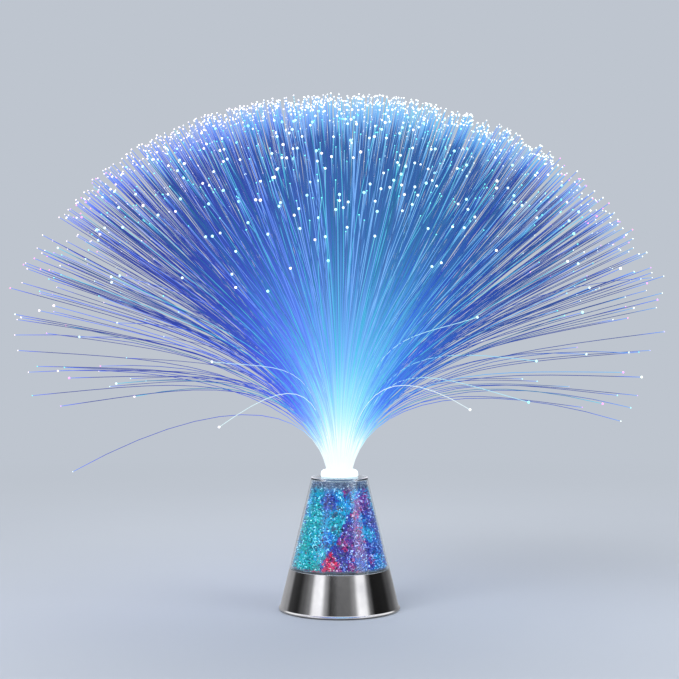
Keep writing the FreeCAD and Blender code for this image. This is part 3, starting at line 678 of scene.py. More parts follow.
@dataclass
class Chamber:
    """Clear conical cup over the crystals, with a painted highlight along its upper rim at the left and the
    right.
    """

    cone: Cone
    bottom: float = 27.2
    top: float = 87.0
    wall: float = 0.8
    roof: float = 1.6
    bore: float = 10.2
    segments: int = 160
    rim_height: float = 0.7
    rim_share: float = 0.95
    painted_highlight_sides: Span = (0.62, 0.92)

    def build(self) -> None:
        """Turns the cup's section, with its edges rounded as a moulding's are.

        The rim is the faces near the top and nearly as far out as it reaches. Its painted highlight rises
        smoothly with the distance to the left or the right, as a share of the top's radius.
        """
        cone, ceiling = self.cone, self.top - self.roof
        corners = [
            (cone.radius(self.bottom, self.wall), self.bottom, 0.2),
            (cone.radius(self.bottom), self.bottom, 0.2),
            (cone.radius(self.top), self.top, 0.45),
            (self.bore, self.top, 0.2),
            (self.bore, ceiling, 0.2),
            (cone.radius(ceiling, self.wall), ceiling, 0.5),
        ]
        points, quads = turned(corners, self.segments)
        x, y, z = (points[quads].mean(axis=1) / MM).T
        edge = cone.radius(self.top)
        on_rim = (np.hypot(x, y) / edge > self.rim_share) & (z > self.top - self.rim_height)
        # The rim value is a painted highlight, strongest at the left and the right of the rim
        values = {"rim": ("FACE", on_rim * smooth_step(*self.painted_highlight_sides, np.abs(x) / edge))}
        replaced = ("crystal_chamber",)
        cup = Piece("chamber_cup", points, [quads], "base", "clear_plastic", replaced, values=values)
        cup.put(Finish.CLEAR)


@dataclass(frozen=True)
class Grain:
    """A size of crystal.

    How many lie in the widest layer, their least and largest half width, how far behind the wall the
    nearest and the deepest lie, and how lit they are.
    """

    count: int
    small: float
    large: float
    nearest: float
    deepest: float
    glow: float


@dataclass
class CrystalFill:
    """Crushed crystals in the chamber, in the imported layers, with pools of coloured light among them.

    Each chip is an octahedron with its six corners at uneven distances along turned axes. A pool is its
    azimuth in degrees, its height and radius, and its hue. Between the two unlit levels the light gives
    out. The hues also ripple from place to place, by the sines along two waves.
    """

    cone: Cone
    bottom: float = 28.65
    top: float = 84.9
    wall: float = 0.9
    tube: float = 11.5
    slots: tuple[str, ...] = (
        "crystal_magenta",
        "crystal_teal",
        "crystal_cyan",
        "crystal_violet",
        "crystal_frost",
    )
    grains: tuple[Grain, ...] = (
        Grain(1150, 1.0, 2.3, 0.0, 4.5, 0.5),
        Grain(150, 2.2, 3.2, 3.5, 9.0, 0.4),
        Grain(800, 0.6, 1.2, 0.0, 0.25, 0.45),
        # Tiny chips near the wall with a high spark, which paint glints
        Grain(220, 0.3, 0.6, 0.0, 1.0, 0.88),
    )
    floor_grain: Grain = Grain(500, 0.5, 0.9, 0.0, 2.0, 0.45)
    floor_depth: float = 2.5
    tuck: float = 0.96
    shortest: float = 0.5
    unlit: Span = (77.5, 82.5)
    ripple: float = 0.06
    ripple_waves: tuple[Place, Place] = ((0.9, 0.7, 1.1), (-0.6, 1.0, 0.8))
    hue_scatter: float = 0.055
    chip_scatter: float = 0.12
    facet_scatter: float = 0.15
    painted_glint_share: float = 0.02
    seed: int = 11
    pools: tuple[tuple[float, float, float, float], ...] = (
        (-53, 77, 6, 0.14), (-21, 81, 5, 0.3), (-21, 72, 5.5, 0.56), (0, 79, 4, 0.22),
        (15, 78, 3.4, 0.8), (35, 78, 4.5, 0.24), (16, 71, 5, 0.26), (3, 66, 5, 0.2),
        (45, 70, 6.5, 0.76), (29, 64, 2.7, 0.86), (20, 61, 3.6, 0.5), (40, 62, 3, 0.3),
        (64, 60, 7, 0.57), (-47, 63, 8, 0.04), (-6, 59, 6.5, 0.08), (-23, 63, 5, 0.24),
        (-59, 52, 8, 0.04), (-56, 42, 8, 0.03), (-20, 49, 5.5, 0.34), (-36, 50, 6, 0.1),
        (17, 54, 6, 0.7), (28, 54, 3.4, 0.8), (52, 51, 5, 0.2), (27, 46, 7, 0.73), (6, 45, 3.4, 0.88),
        (-2, 40, 4.2, 0.62), (-12, 34.6, 5.2, 0.98), (-29, 39, 5.5, 0.12), (-49, 33, 8, 0.02),
        (8, 35, 5, 0.62), (16, 33, 3.6, 0.86), (30, 31, 6, 0.5), (47, 36, 3.6, 0.78), (62, 34, 6, 0.3),
        (-4, 29, 3, 0.86), (-39, 30, 6, 0.0), (66, 42, 6, 0.44), (43, 42, 5, 0.6), (110, 45, 13, 0.5),
        (120, 68, 11, 0.2), (145, 34, 10, 0.86), (165, 55, 12, 0.12), (178, 76, 9, 0.6),
        (-170, 36, 9, 0.3), (-140, 50, 11, 0.72), (-120, 32, 9, 0.96), (-110, 66, 11, 0.26),
        (-92, 42, 9, 0.16),
    )

    def hue_at(self, points: Array) -> Array:
        """Hue of the light at some places.

        Each pool weighs exp(-4 (d / radius)^2), with d the distance on the cone's surface, and the hue is
        the mean of theirs.

        Args:
            points: Places, in millimetres.

        Returns:
            Hue from 0 to 1 at each.
        """
        azimuth, level = np.arctan2(points[:, 0], -points[:, 1]), points[:, 2]
        total, weights = np.zeros(len(points)), np.full(len(points), 1e-30)
        for degrees, height, radius, hue in self.pools:
            turn = (azimuth - math.radians(degrees) + np.pi) % (2 * np.pi) - np.pi
            across = turn * self.cone.radius(level)
            weight = np.exp(-4 * (across**2 + (level - height) ** 2) / radius**2)
            total, weights = total + weight * hue, weights + weight
        return total / weights

    def chips(self, centre: Array, size: Array, rng: np.random.Generator) -> Array:
        """Corners of the chips: the centre plus or minus each turned axis times a length of its own.

        Args:
            centre: Their middles.
            size: Their largest half widths.
            rng: Source of chance.

        Returns:
            Six corners to a chip.
        """
        count = len(centre)
        q = rng.normal(size=(count, 4))
        w, x, y, z = (q / np.linalg.norm(q, axis=1)[:, None]).T
        rows = [
            (1 - 2 * (y * y + z * z), 2 * (x * y + z * w), 2 * (x * z - y * w)),
            (2 * (x * y - z * w), 1 - 2 * (x * x + z * z), 2 * (y * z + x * w)),
            (2 * (x * z + y * w), 2 * (y * z - x * w), 1 - 2 * (x * x + y * y)),
        ]
        axes = np.stack([np.stack(row, axis=-1) for row in rows], axis=1)
        lengths = rng.uniform(self.shortest, 1.0, (count, 6, 1)) * size[:, None, None]
        return centre[:, None] + np.concatenate([axes, -axes], axis=1) * lengths

    def scatter(self, grain: Grain, low: float, high: float, rng: np.random.Generator) -> tuple[Array, ...]:
        """Scatters one grain's chips over a layer. The floor's grain keeps to the lowest part of it.

        Args:
            grain: Their size.
            low: The layer's lowest level, in millimetres.
            high: Its highest.
            rng: Source of chance.

        Returns:
            Six corners to a chip, each chip's hue, and the spark of each of its eight facets.
        """
        count = int(grain.count * (self.cone.radius((low + high) / 2) / self.cone.radius(self.bottom)))
        size = rng.uniform(grain.small, grain.large, count)
        ceiling = low + self.floor_depth if grain is self.floor_grain else high
        height = np.clip(rng.uniform(low, ceiling, count), self.bottom + size, self.top - size)
        outer = self.cone.radius(height, self.wall) - size * self.tuck
        radius = np.maximum(outer - rng.uniform(grain.nearest, grain.deepest, count), self.tube + size)
        centre = round_axis(radius, rng.uniform(0, 2 * np.pi, count), height)
        corners = self.chips(centre, size, rng)
        first, second = np.array(self.ripple_waves)
        ripple = self.ripple * (np.sin(centre @ first) * np.sin(centre @ second + 1))
        hue = np.clip(self.hue_at(centre) + ripple + rng.normal(0, self.hue_scatter, count), 0, 1)
        spark = grain.glow + rng.normal(0, self.chip_scatter, (count, 1))
        spark = spark + rng.normal(0, self.facet_scatter, (count, 8))
        # A few facets are set to full spark, as painted glints
        painted_glint = rng.random((count, 8)) < self.painted_glint_share
        return corners, hue, np.clip(np.where(painted_glint, 1.0, spark), 0, 1)

    def build(self) -> None:
        """Fills each layer with small chips behind the wall and larger chunks further in."""
        rng = np.random.default_rng(self.seed)
        upper = [(0, 1, 2), (1, 3, 2), (3, 4, 2), (4, 0, 2)]
        octahedron = np.array([*upper, (1, 0, 5), (3, 1, 5), (4, 3, 5), (0, 4, 5)])
        levels = np.linspace(self.bottom, self.top, len(self.slots) + 1)
        for layer, (slot, low, high) in enumerate(zip(self.slots, levels, levels[1:]), start=1):
            grains = self.grains + ((self.floor_grain,) if layer == 1 else ())
            parts = zip(*(self.scatter(grain, low, high, rng) for grain in grains))
            corners, hue, spark = (np.concatenate(part) for part in parts)
            unlit = smooth_step(*self.unlit, corners[..., 2].mean(axis=1))
            values = {
                "hue": ("FACE", np.repeat(hue, len(octahedron))),
                "spark": ("FACE", spark.ravel()),
                "unlit": ("FACE", np.repeat(unlit, len(octahedron))),
            }
            piece = Piece(
                f"crushed_crystals_{layer}",
                corners.reshape(-1, 3) * MM,
                [copies(octahedron, *corners.shape[:2])],
                "base",
                slot,
                replaces=(f"crystals_layer_{layer}",),
                smooth=False,
                values=values,
            )
            piece.put(Finish.CRYSTAL)


# ---------------------------------------------------------------- spray


@dataclass
class Collar:
    """Glowing sleeve round the fibres' feet, with a rounded collar."""

    bottom: float = 30.2
    seat: float = 87.3
    top: float = 91.88
    bore: float = 9.1
    sleeve: float = 9.9
    radius: float = 12.3
    segments: int = 128

    def build(self) -> None:
        """Turns the sleeve and its collar in one section."""
        corners = [
            (self.bore, self.bottom, 0.1),
            (self.sleeve, self.bottom, 0.2),
            (self.sleeve, self.seat, 0.2),
            (self.radius, self.seat, 0.4),
            (self.radius, self.top, 3.1),
            (self.bore, self.top, 0.1),
        ]
        points, quads = turned(corners, self.segments)
        sleeve = Piece("glowing_sleeve", points, [quads], "spray", "glowing_collar", ("spray_ferrule",))
        sleeve.put(Finish.SLEEVE)


@dataclass(frozen=True)
class Arch:
    """A fibre that arches over to a chosen place.

    Its tip, how far it climbs from its foot before it bends, the level that it bends towards, and the least
    share of its light that it keeps.
    """

    x: float
    y: float
    z: float
    rise: float
    level: float
    glow: float = 0.12


@dataclass
class Course:
    """What settles a family of fibres, one number to a fibre.

    The foot's distance from the axis as a share of the outermost fibre's, the azimuth in radians, the lean
    from foot to tip in degrees, the distance between them, and the radians that the tip drifts round by.
    """

    share: Array
    azimuth: Array
    lean: Array
    reach: Array
    drift: Array | float = 0.0


@dataclass
class FibrePlan:
    """Where the fibres run, from the potted root to their tips.

    A fibre stands in an upright plane through the axis, apart from its drift. Lengths are in millimetres
    and angles in degrees, apart from turns and drifts in radians. An effect grows between the two angles of
    its sector. The fine fibres' turn, lean and drift are scatters. All of them are trimmed a little, and
    some are cut shorter.
    """

    rings: int = 7
    fine: int = 2600
    strays: int = 130
    foot_level: float = 91.5
    foot_radius: float = 8.2
    reach: float = 244.4
    neck_lean: float = 13.0
    lean_spread: float = 23.0
    rim_share: float = 0.997
    flare_start: float = 42.0
    flare_gain: float = 0.2
    open_angle: float = 46.0
    open_hold: float = 0.85
    open_sector: Span = (28.0, 55.0)
    droop_angle: float = 62.0
    droop_loss: float = 0.0125
    side_loss: float = 0.03
    side_sector: Span = (30.0, 58.0)
    lean_scatter: float = 0.9
    reach_scatter: float = 0.04
    fine_part: float = 0.98
    fine_turn: float = 0.14
    fine_lean: float = 2.2
    fine_drift: float = 0.05
    trim: float = 0.03
    trim_power: float = 1.5
    cut_share: float = 0.1
    cut: Span = (0.03, 0.16)
    stray_least: float = 36.0
    stray_most: float = 50.0
    stray_aside: float = 27.0
    stray_sector: Span = (8.0, 55.0)
    stray_trim: float = 0.12
    stray_feet: Span = (0.75, 0.2)
    segments: int = 14
    crowding: float = 1.2
    steps: int = 144
    arch_feet: float = 0.98
    arch_bend: float = 0.48
    seed: int = 5
    front_depth: float = 176.0
    front_share: float = 0.9
    front_tips: tuple[Span, ...] = (
        (-42, 251), (-24, 243), (-38, 233), (-21, 236), (-13, 230), (-6, 219), (-26, 215), (-55, 224),
        (-57, 212), (-55, 205), (-38, 203), (-2, 246), (2, 247), (0, 254), (13, 255), (20, 245),
        (22, 257), (33, 259), (40, 258), (46, 260), (47, 236), (60, 237), (54, 218), (49, 216),
    )
    arches: tuple[Arch, ...] = (
        Arch(-181, 25, 88, 50, 140), Arch(-70, -108, 126, 66, 152, 0.72),
        Arch(-74, -110, 164, 80, 158, 0.62), Arch(-134, -70, 216, 84, 200, 0.3),
        Arch(-138, -58, 150, 50, 158), Arch(-131, -30, 141, 50, 155), Arch(-184, -10, 157, 50, 162),
        Arch(-158, 0, 160, 52, 164), Arch(-142, -30, 188, 60, 190), Arch(-165, -36, 179, 56, 182),
        Arch(-218, 0, 182, 54, 186), Arch(-217, 40, 156, 48, 164), Arch(81, -100, 190, 96, 176, 0.6),
        Arch(120, -70, 164, 84, 172, 0.46), Arch(115, -72, 139, 84, 156, 0.6),
        Arch(74, -128, 137, 60, 162, 0.74), Arch(170, -20, 136, 50, 158), Arch(187, -20, 169, 52, 175),
        Arch(157, -34, 168, 54, 174), Arch(195, 12, 132, 50, 158), Arch(192, 30, 122, 50, 152),
        Arch(209, 10, 219, 72, 214),
    )

    @staticmethod
    def from_front(azimuth: Array) -> Array:
        """Angle in degrees between a direction and the plane that runs from the front to the back."""
        return np.degrees(np.arcsin(np.abs(np.cos(azimuth))))

    def tip_lean(self, part: Array, azimuth: Array) -> Array:
        """Lean of the tips of fibres that stand at a part of the root's radius.

        The share of the tips within a lean L is 1 - exp(-(L / spread)^2 / 2). Past the flare they give way
        further, and at the front and the back little more than the open angle is left.

        Args:
            part: Distance from the axis, as a share of the outermost fibre's.
            azimuth: Direction, in radians from the right-hand side.

        Returns:
            Degrees from upright.
        """
        lean = self.lean_spread * np.sqrt(-2 * np.log(1 - self.rim_share * part**2))
        lean = lean + self.flare_gain * np.maximum(lean - self.flare_start, 0)
        held = self.open_hold * (1 - smooth_step(*self.open_sector, self.from_front(azimuth)))
        return lean - held * np.maximum(lean - self.open_angle, 0)

    def reach_at(self, lean: Array) -> Array:
        """Distance from foot to tip: a little less at the sides, and less still where a fibre droops."""
        held = 1 - self.side_loss * smooth_step(*self.side_sector, lean)
        return self.reach * held * (1 - np.maximum(lean - self.droop_angle, 0) * self.droop_loss)

    def rods(self) -> Course:
        """Plans the fibres that stand for the solid rods: rings of six more each, opposite ones alike.

        Returns:
            Their course.
        """
        sizes = [max(6 * ring, 1) for ring in range(self.rings + 1)]
        ring = np.repeat(np.arange(self.rings + 1), sizes)
        count = np.repeat(sizes, sizes)
        step = np.concatenate([np.arange(size) for size in sizes])
        azimuth = 2 * np.pi * (step + 0.5 * (ring % 2)) / count
        half_turn = step % np.maximum(count // 2, 1)

        def scatter(number: Array) -> Array:
            """Spreads whole numbers evenly over -0.5 to 0.5, by golden parts."""
            return number * (math.sqrt(5) - 1) / 2 % 1.0 - 0.5

        off = self.lean_scatter * scatter(4 * half_turn + 3 * ring + 8)
        part = np.where(ring > 0, (ring + off) / (self.rings + self.lean_scatter / 2), 0)
        lean = self.tip_lean(part, azimuth)
        shorter = np.where(ring > 0, self.reach_scatter * (0.5 + scatter(2 * half_turn + ring)), 0)
        return Course(ring / self.rings, azimuth, lean, self.reach_at(lean) * (1 - shorter))

    def fill(self) -> Course:
        """Plans the fine fibres between the rods, about a golden angle apart.

        Returns:
            Their course.
        """
        rng, count = np.random.default_rng(self.seed), self.fine
        number = np.arange(count) + 0.5
        part = np.sqrt(number / count)
        azimuth = number * np.pi * (3 - math.sqrt(5)) + rng.normal(0, self.fine_turn, count)
        lean = np.abs(self.tip_lean(part * self.fine_part, azimuth) + rng.normal(0, self.fine_lean, count))
        short = self.trim * rng.random(count) ** self.trim_power
        short = short + np.where(rng.random(count) < self.cut_share, rng.uniform(*self.cut, count), 0.0)
        drift = rng.normal(0, self.fine_drift, count)
        return Course(part, azimuth, lean, self.reach_at(lean) * (1 - short), drift)

    def stray(self) -> Course:
        """Plans the fibres that stray between the dome's top and its sides, further aside than in front.

        Returns:
            Their course.
        """
        rng, count = np.random.default_rng(self.seed + 2), self.strays
        azimuth = 2 * np.pi * (np.arange(count) + rng.random(count)) / count
        aside = smooth_step(*self.stray_sector, self.from_front(azimuth))
        most = self.stray_most + self.stray_aside * aside
        lean = self.stray_least + (most - self.stray_least) * rng.random(count)
        reach = self.reach_at(lean) * (1 - self.stray_trim * rng.random(count))
        inner, width = self.stray_feet
        return Course(inner + width * rng.random(count), azimuth, lean, reach)

    def front(self) -> Course:
        """Plans the fibres that bend to the chosen tips at the front.

        A tip at (x, -depth, z) sets the direction, the lean arctan(out / up) and the reach, from its foot.

        Returns:
            Their course.
        """
        x, z = np.array(self.front_tips).T
        share = np.full(len(x), self.front_share)
        out = np.hypot(x, self.front_depth) - self.foot_radius * share
        up = z - self.foot_level
        azimuth = np.arctan2(-self.front_depth, x)
        return Course(share, azimuth, np.degrees(np.arctan2(out, up)), np.hypot(out, up))

    def knots(self) -> Array:
        """Places of the points along a fibre, as shares of its length: closer together near the foot."""
        return np.linspace(0, 1, self.segments + 1) ** self.crowding

    def lines(self, course: Course) -> Array:
        """Follows every planned fibre from foot to tip.

        At the share t of its length a fibre leans by first + (last - first) (1 - (1 - t)^3), so that it
        bends most near its foot. The mean of that is a quarter of the first lean and three quarters of the
        last, and the last one is set to make it the planned lean. The lean is summed up in small steps, and
        the line is then scaled so that its ends are its reach apart.

        Args:
            course: The fibres' plan.

        Returns:
            Places in millimetres, as fibre, point and coordinate.
        """
        t = (np.arange(self.steps) + 0.5) / self.steps
        first = np.radians(self.neck_lean) * course.share[:, None]
        last = (np.radians(course.lean)[:, None] - 0.25 * first) / 0.75
        angle = first + (last - first) * (1 - (1 - t) ** 3)
        steps = np.pad(np.stack([np.sin(angle), np.cos(angle)]), ((0, 0), (0, 0), (1, 0)))
        outward, upward = np.cumsum(steps, axis=2) / self.steps
        size = (course.reach / np.hypot(outward[:, -1], upward[:, -1]))[:, None]
        knots = np.round(self.knots() * self.steps).astype(int)
        radial = self.foot_radius * course.share[:, None] + outward[:, knots] * size
        swing = course.azimuth[:, None] + np.reshape(course.drift, (-1, 1)) * (knots / self.steps) ** 2
        return round_axis(radial, swing, self.foot_level + upward[:, knots] * size)

    def arched_lines(self) -> Array:
        """Follows every arch: a cubic Bezier curve in the upright plane through the axis and its tip.

        It leaves the root at the neck's lean, climbs by its rise, bends towards its level about half-way
        out, and ends at its tip.

        Returns:
            Places in millimetres, as fibre, point and coordinate.
        """
        x, y, z, rise, level = np.array([(a.x, a.y, a.z, a.rise, a.level) for a in self.arches]).T
        out, lean = np.hypot(x, y), math.radians(self.neck_lean)
        foot = np.full(len(out), self.foot_radius)
        start = np.stack([foot, 0 * foot + self.foot_level], axis=-1)
        climb = start + np.stack([rise * math.sin(lean), rise * math.cos(lean)], axis=-1)
        bend = np.stack([self.arch_bend * out, level], axis=-1)
        tip = np.stack([out, z], axis=-1)
        t = self.knots()[None, :, None]
        line = (
            (1 - t) ** 3 * start[:, None]
            + 3 * t * (1 - t) ** 2 * climb[:, None]
            + 3 * t**2 * (1 - t) * bend[:, None]
            + t**3 * tip[:, None]
        )
        radial, height = line[..., 0], line[..., 1]
        return np.stack([radial * (x / out)[:, None], radial * (y / out)[:, None], height], axis=-1)

    def grown(self) -> tuple[Array, Array]:
        """Follows all the fibres. Those with a chosen tip come last: the ones at the front, and the arches.

        Returns:
            Places in millimetres, as fibre, point and coordinate, and the foot's share of the root's radius.
        """
        courses = (self.rods(), self.fill(), self.stray(), self.front())
        lines = np.concatenate([*(self.lines(course) for course in courses), self.arched_lines()])
        arched = np.full(len(self.arches), self.arch_feet)
        return lines, np.concatenate([*(course.share for course in courses), arched])


@dataclass
class FibreGlow:
    """How the fibres and their tips shine, from where they run and from six chances to a fibre.

    Lengths are in millimetres and angles in degrees. An effect grows between the two numbers of its
    sector, length or edge, and the slopes are for the left and the right. Every other pair is the least
    that a value or a share can be, and the range above it.
    """

    plan: FibrePlan
    lines: Array
    chance: Array
    fade: float = 72.0
    side_loss: float = 0.5
    side_sector: Span = (18.0, 56.0)
    side_length: Span = (4.0, 60.0)
    strength: Span = (0.85, 0.3)
    end_glow: float = 0.4
    end_length: float = 9.0
    dome_edge: Span = (0.95, 0.84)
    bright_share: float = 0.25
    bright_least: float = 0.3
    tint: float = 0.5
    tint_slopes: Span = (0.003, 0.0016)
    tint_scatter: float = 0.2
    green_share: Span = (0.06, 0.2)
    green_tint: float = 0.96
    tip_hue: float = 0.2
    tip_hue_slope: float = 0.0009
    tip_hue_scatter: float = 0.2
    tip_hue_most: float = 0.42
    inner_share: float = 0.8
    inner_hues: Span = (0.48, 0.22)
    faint_share: float = 0.55
    faint_hue: float = 0.78
    faint_size: float = 0.5
    side_start: float = 140.0
    side_share: float = 0.3
    side_hues: Span = (0.86, 0.14)
    tip_radius: float = 0.55
    tip_sizes: Span = (0.66, 0.32)
    faint_near: float = 0.5
    near_gain: float = 0.55
    side_cut: float = 0.06

    def __post_init__(self) -> None:
        """Finds the tips inside the dome's outline, and those of them in front, which are seen end on."""
        self.x, y, z = self.lines[:, -1].T
        self.up = z - self.plan.foot_level
        self.inside = smooth_step(*self.dome_edge, np.hypot(self.x, self.up) / self.plan.reach)
        self.near = self.inside * (y < 0)

    def light(self) -> Array:
        """Light left at each point of each fibre.

        It falls as exp(-length / fade), faster at the sides, and is never less than a glow at the very end,
        or than the least that an arch or a bright fibre keeps.

        Returns:
            The light from 0 to 1, as fibre and point.
        """
        steps = np.linalg.norm(np.diff(self.lines, axis=1), axis=2)
        length = np.concatenate([np.zeros((len(steps), 1)), np.cumsum(steps, axis=1)], axis=1)
        aside = np.degrees(np.arctan2(np.abs(self.x), self.up))[:, None]
        loss = self.side_loss * smooth_step(*self.side_sector, aside)
        loss = loss * smooth_step(*self.side_length, length)
        weakest, more = self.strength
        light = np.exp(-length / self.fade) * (1 - loss) * (weakest + more * self.chance[0][:, None])
        end = 1 - smooth_step(0, self.end_length, length[:, -1:] - length)
        least = np.where(self.chance[1] < self.bright_share * self.near, self.bright_least, 0)
        least[-len(self.plan.arches) :] = [arch.glow for arch in self.plan.arches]
        return np.clip(np.maximum(np.maximum(light, self.end_glow * end), least[:, None]), 0, 1)

    def tints(self) -> Array:
        """Tint of each fibre: violet at the left, blue and teal at the right, and a few of them green.

        Returns:
            A number from 0 to 1 to a fibre.
        """
        left, right = self.tint_slopes
        drift = self.tint_scatter * (self.chance[1] - 0.5)
        tint = self.tint + np.where(self.x < 0, left, right) * self.x + drift
        least, more = self.green_share
        return np.clip(np.where(self.chance[2] < least + more * self.near, self.green_tint, tint), 0, 1)

    def tips(self) -> tuple[Array, Array]:
        """Hue and radius of each tip.

        More than half of the tips that are seen end on are turned away, and show small and teal, but never
        those at a chosen place. Some at the sides are violet or pink.

        Returns:
            A number from 0 to 1, and millimetres.
        """
        drift = self.tip_hue_scatter * (self.chance[3] - 0.5)
        hue = np.clip(self.tip_hue + self.tip_hue_slope * self.x + drift, 0, self.tip_hue_most)
        least, more = self.inner_hues
        hue = np.where(self.chance[4] < self.inner_share * self.inside, least + more * self.chance[5], hue)
        faint = (self.near > self.faint_near) & (self.chance[0] < self.faint_share)
        faint[-len(self.plan.front_tips) - len(self.plan.arches) :] = False
        side = np.abs(self.x) > self.side_start
        least, more = self.side_hues
        hue = np.where(faint, self.faint_hue, hue)
        hue = np.where(side & (self.chance[4] < self.side_share), least + more * self.chance[5], hue)
        least, more = self.tip_sizes
        size = least + more * self.chance[5] + self.near_gain * self.near - self.side_cut * side
        return hue, self.tip_radius * size * np.where(faint, self.faint_size, 1.0)


@dataclass
class FibreSpray:
    """The fibres and their bright tips, in groups from the core outwards.

    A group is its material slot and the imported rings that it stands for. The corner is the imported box's
    highest, in metres, and the margin is what the fibres keep clear of it.
    """

    corner: Sequence[float]
    plan: FibrePlan = field(default_factory=FibrePlan)
    margin: float = 1.0
    half_width: float = 0.2
    sides: int = 4
    bead_sides: int = 6
    bead_rows: tuple[float, ...] = (-45.0, 0.0, 45.0)
    groups: tuple[tuple[str, tuple[int, ...]], ...] = (
        ("fibre_core", (0, 1, 2, 3)),
        ("fibre_middle", (4, 5)),
        ("fibre_outer", (6,)),
        ("fibre_outer", (7,)),
    )

    def hold(self, lines: Array) -> Array:
        """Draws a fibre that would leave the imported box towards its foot, until its tip is inside.

        Args:
            lines: Places in millimetres.

        Returns:
            The same, drawn in.
        """
        limit = np.array(self.corner) / MM - self.margin
        over = np.max(np.abs(lines[:, -1]) / limit, axis=1)
        anchor = np.array([0, 0, self.plan.foot_level])
        return anchor + (lines - anchor) / np.maximum(over, 1)[:, None, None]

    def tubes(self, lines: Array) -> tuple[Array, list[Array]]:
        """Carries a ring of points along every line.

        At each point the ring lies in the plane across the line: its first axis is the direction round the
        lamp, less its part along the line, its second is the first crossed with the line, and the ring's
        points are first cos a + second sin a, times half the fibre's width.

        Args:
            lines: Places in millimetres.

        Returns:
            Points in metres, and faces: the tubes' quads and the caps.
        """
        fibres, knots, sides = lines.shape[0], lines.shape[1], self.sides
        tangent = np.gradient(lines, axis=1)
        tangent /= np.linalg.norm(tangent, axis=2, keepdims=True)
        azimuth = np.arctan2(lines[:, -1:, 1], lines[:, -1:, 0])
        around = np.stack([-np.sin(azimuth), np.cos(azimuth), 0 * azimuth], axis=-1)
        side = around - (around * tangent).sum(axis=2, keepdims=True) * tangent
        side /= np.linalg.norm(side, axis=2, keepdims=True)
        other = np.cross(side, tangent)
        angle = np.linspace(0, 2 * np.pi, sides, endpoint=False)[None, None, :, None]
        ring = (side[:, :, None] * np.cos(angle) + other[:, :, None] * np.sin(angle)) * self.half_width
        points = (lines[:, :, None] + ring).reshape(-1, 3) * MM
        caps = np.stack([np.arange(sides), np.arange(sides)[::-1] + (knots - 1) * sides])
        walls = grid_quads(knots, sides)[:, ::-1]
        return points, [copies(part, fibres, knots * sides) for part in (walls, caps)]

    def beads(self, tips: Array, radius: Array) -> tuple[Array, list[Array]]:
        """Puts a small faceted ball on every tip: points at r (cos u cos v, sin u cos v, sin v).

        Args:
            tips: Where, in millimetres.
            radius: Each ball's radius, in millimetres.

        Returns:
            Points in metres, and faces.
        """
        around, rows = self.bead_sides, np.radians(self.bead_rows)[:, None]
        u = np.linspace(0, 2 * np.pi, around, endpoint=False)
        ball = round_axis(np.cos(rows), u, np.sin(rows)).reshape(-1, 3)
        bottom, top = len(ball), len(ball) + 1
        ball = np.concatenate([ball, [[0, 0, -1.0], [0, 0, 1.0]]])
        step = np.arange(around)
        following = (step + 1) % around
        last_row = bottom - around
        low = np.stack([step, np.full(around, bottom), following], axis=-1)
        high = np.stack([step + last_row, following + last_row, np.full(around, top)], axis=-1)
        points = tips[:, None] + ball[None] * radius[:, None, None]
        parts = (grid_quads(len(rows), around), np.concatenate([low, high]))
        return points.reshape(-1, 3) * MM, [copies(part, len(tips), len(ball)) for part in parts]

    def build(self) -> None:
        """Makes the fibres and their tips, group by group."""
        lines, share = self.plan.grown()
        lines = self.hold(lines)
        chance = np.random.default_rng(self.plan.seed + 1).random((6, len(lines)))
        glow = FibreGlow(self.plan, lines, chance)
        light, tint = glow.light(), glow.tints()
        hue, radius = glow.tips()
        order = np.clip((share * len(self.groups)).astype(int), 0, len(self.groups) - 1)
        for group, (slot, rings) in enumerate(self.groups):
            chosen = np.flatnonzero(order == group)
            points, faces = self.tubes(lines[chosen])
            values = {
                "light": ("POINT", np.repeat(light[chosen].ravel(), self.sides)),
                "tint": ("POINT", np.repeat(tint[chosen], len(points) // len(chosen))),
            }
            replaced = tuple(f"fibres_ring_{ring}" for ring in rings)
            name = f"light_fibres_{group + 1}"
            fibres = Piece(name, points, faces, "spray", slot, replaced, values=values)
            fibres.put(Finish.FIBRE)
            points, faces = self.beads(lines[chosen, -1], radius[chosen])
            values = {"tint": ("POINT", np.repeat(hue[chosen], len(points) // len(chosen)))}
            tips = Piece(f"fibre_tips_{group + 1}", points, faces, "spray", slot, values=values)
            tips.put(Finish.TIP)


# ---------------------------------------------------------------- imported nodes


@dataclass
class PackedPieces:
    """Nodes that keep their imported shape, and what each is finished in, by the start of its name."""

    nodes: dict[str, bpy.types.Object]
    finishes: tuple[tuple[str, Finish], ...] = (
        ("inner_frame", Finish.WHITE),
        ("bottom_cover", Finish.BLACK),
        ("battery_door", Finish.BLACK),
        ("foot", Finish.RUBBER),
        ("battery", Finish.JACKET),
        ("contact", Finish.PLATED),
        ("led_board", Finish.BOARD),
        ("fibre_led", Finish.LENS),
        ("crystal_led", Finish.LENS),
        ("driver_chip", Finish.CHIP),
        ("resistors", Finish.CHIP),
        ("switch_body", Finish.DARK_GREY),
        ("switch_knob", Finish.DARK_GREY),
        ("switch_terminals", Finish.PLATED),
        ("cover_screws", Finish.ZINC),
        ("chamber_base", Finish.CLEAR),
        ("bundle_root", Finish.ROOT),
    )

    def build(self) -> None:
        """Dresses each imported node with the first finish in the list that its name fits."""
        for name, node in self.nodes.items():
            fits = [finish for start, finish in self.finishes if name.startswith(start)]
            if fits:
                for place in node.material_slots:
                    place.material = worn(fits[0])
                LOG.info("%s wears %s", name, fits[0].value.name)
            elif not node.hide_render:
                LOG.warning("%s has no finish", name)


# ---------------------------------------------------------------- studio


@dataclass(frozen=True)
class SoftLight:
    """A soft square light: its place, its side in metres and its power in watts."""

    name: str
    place: Place
    size: float
    power: float


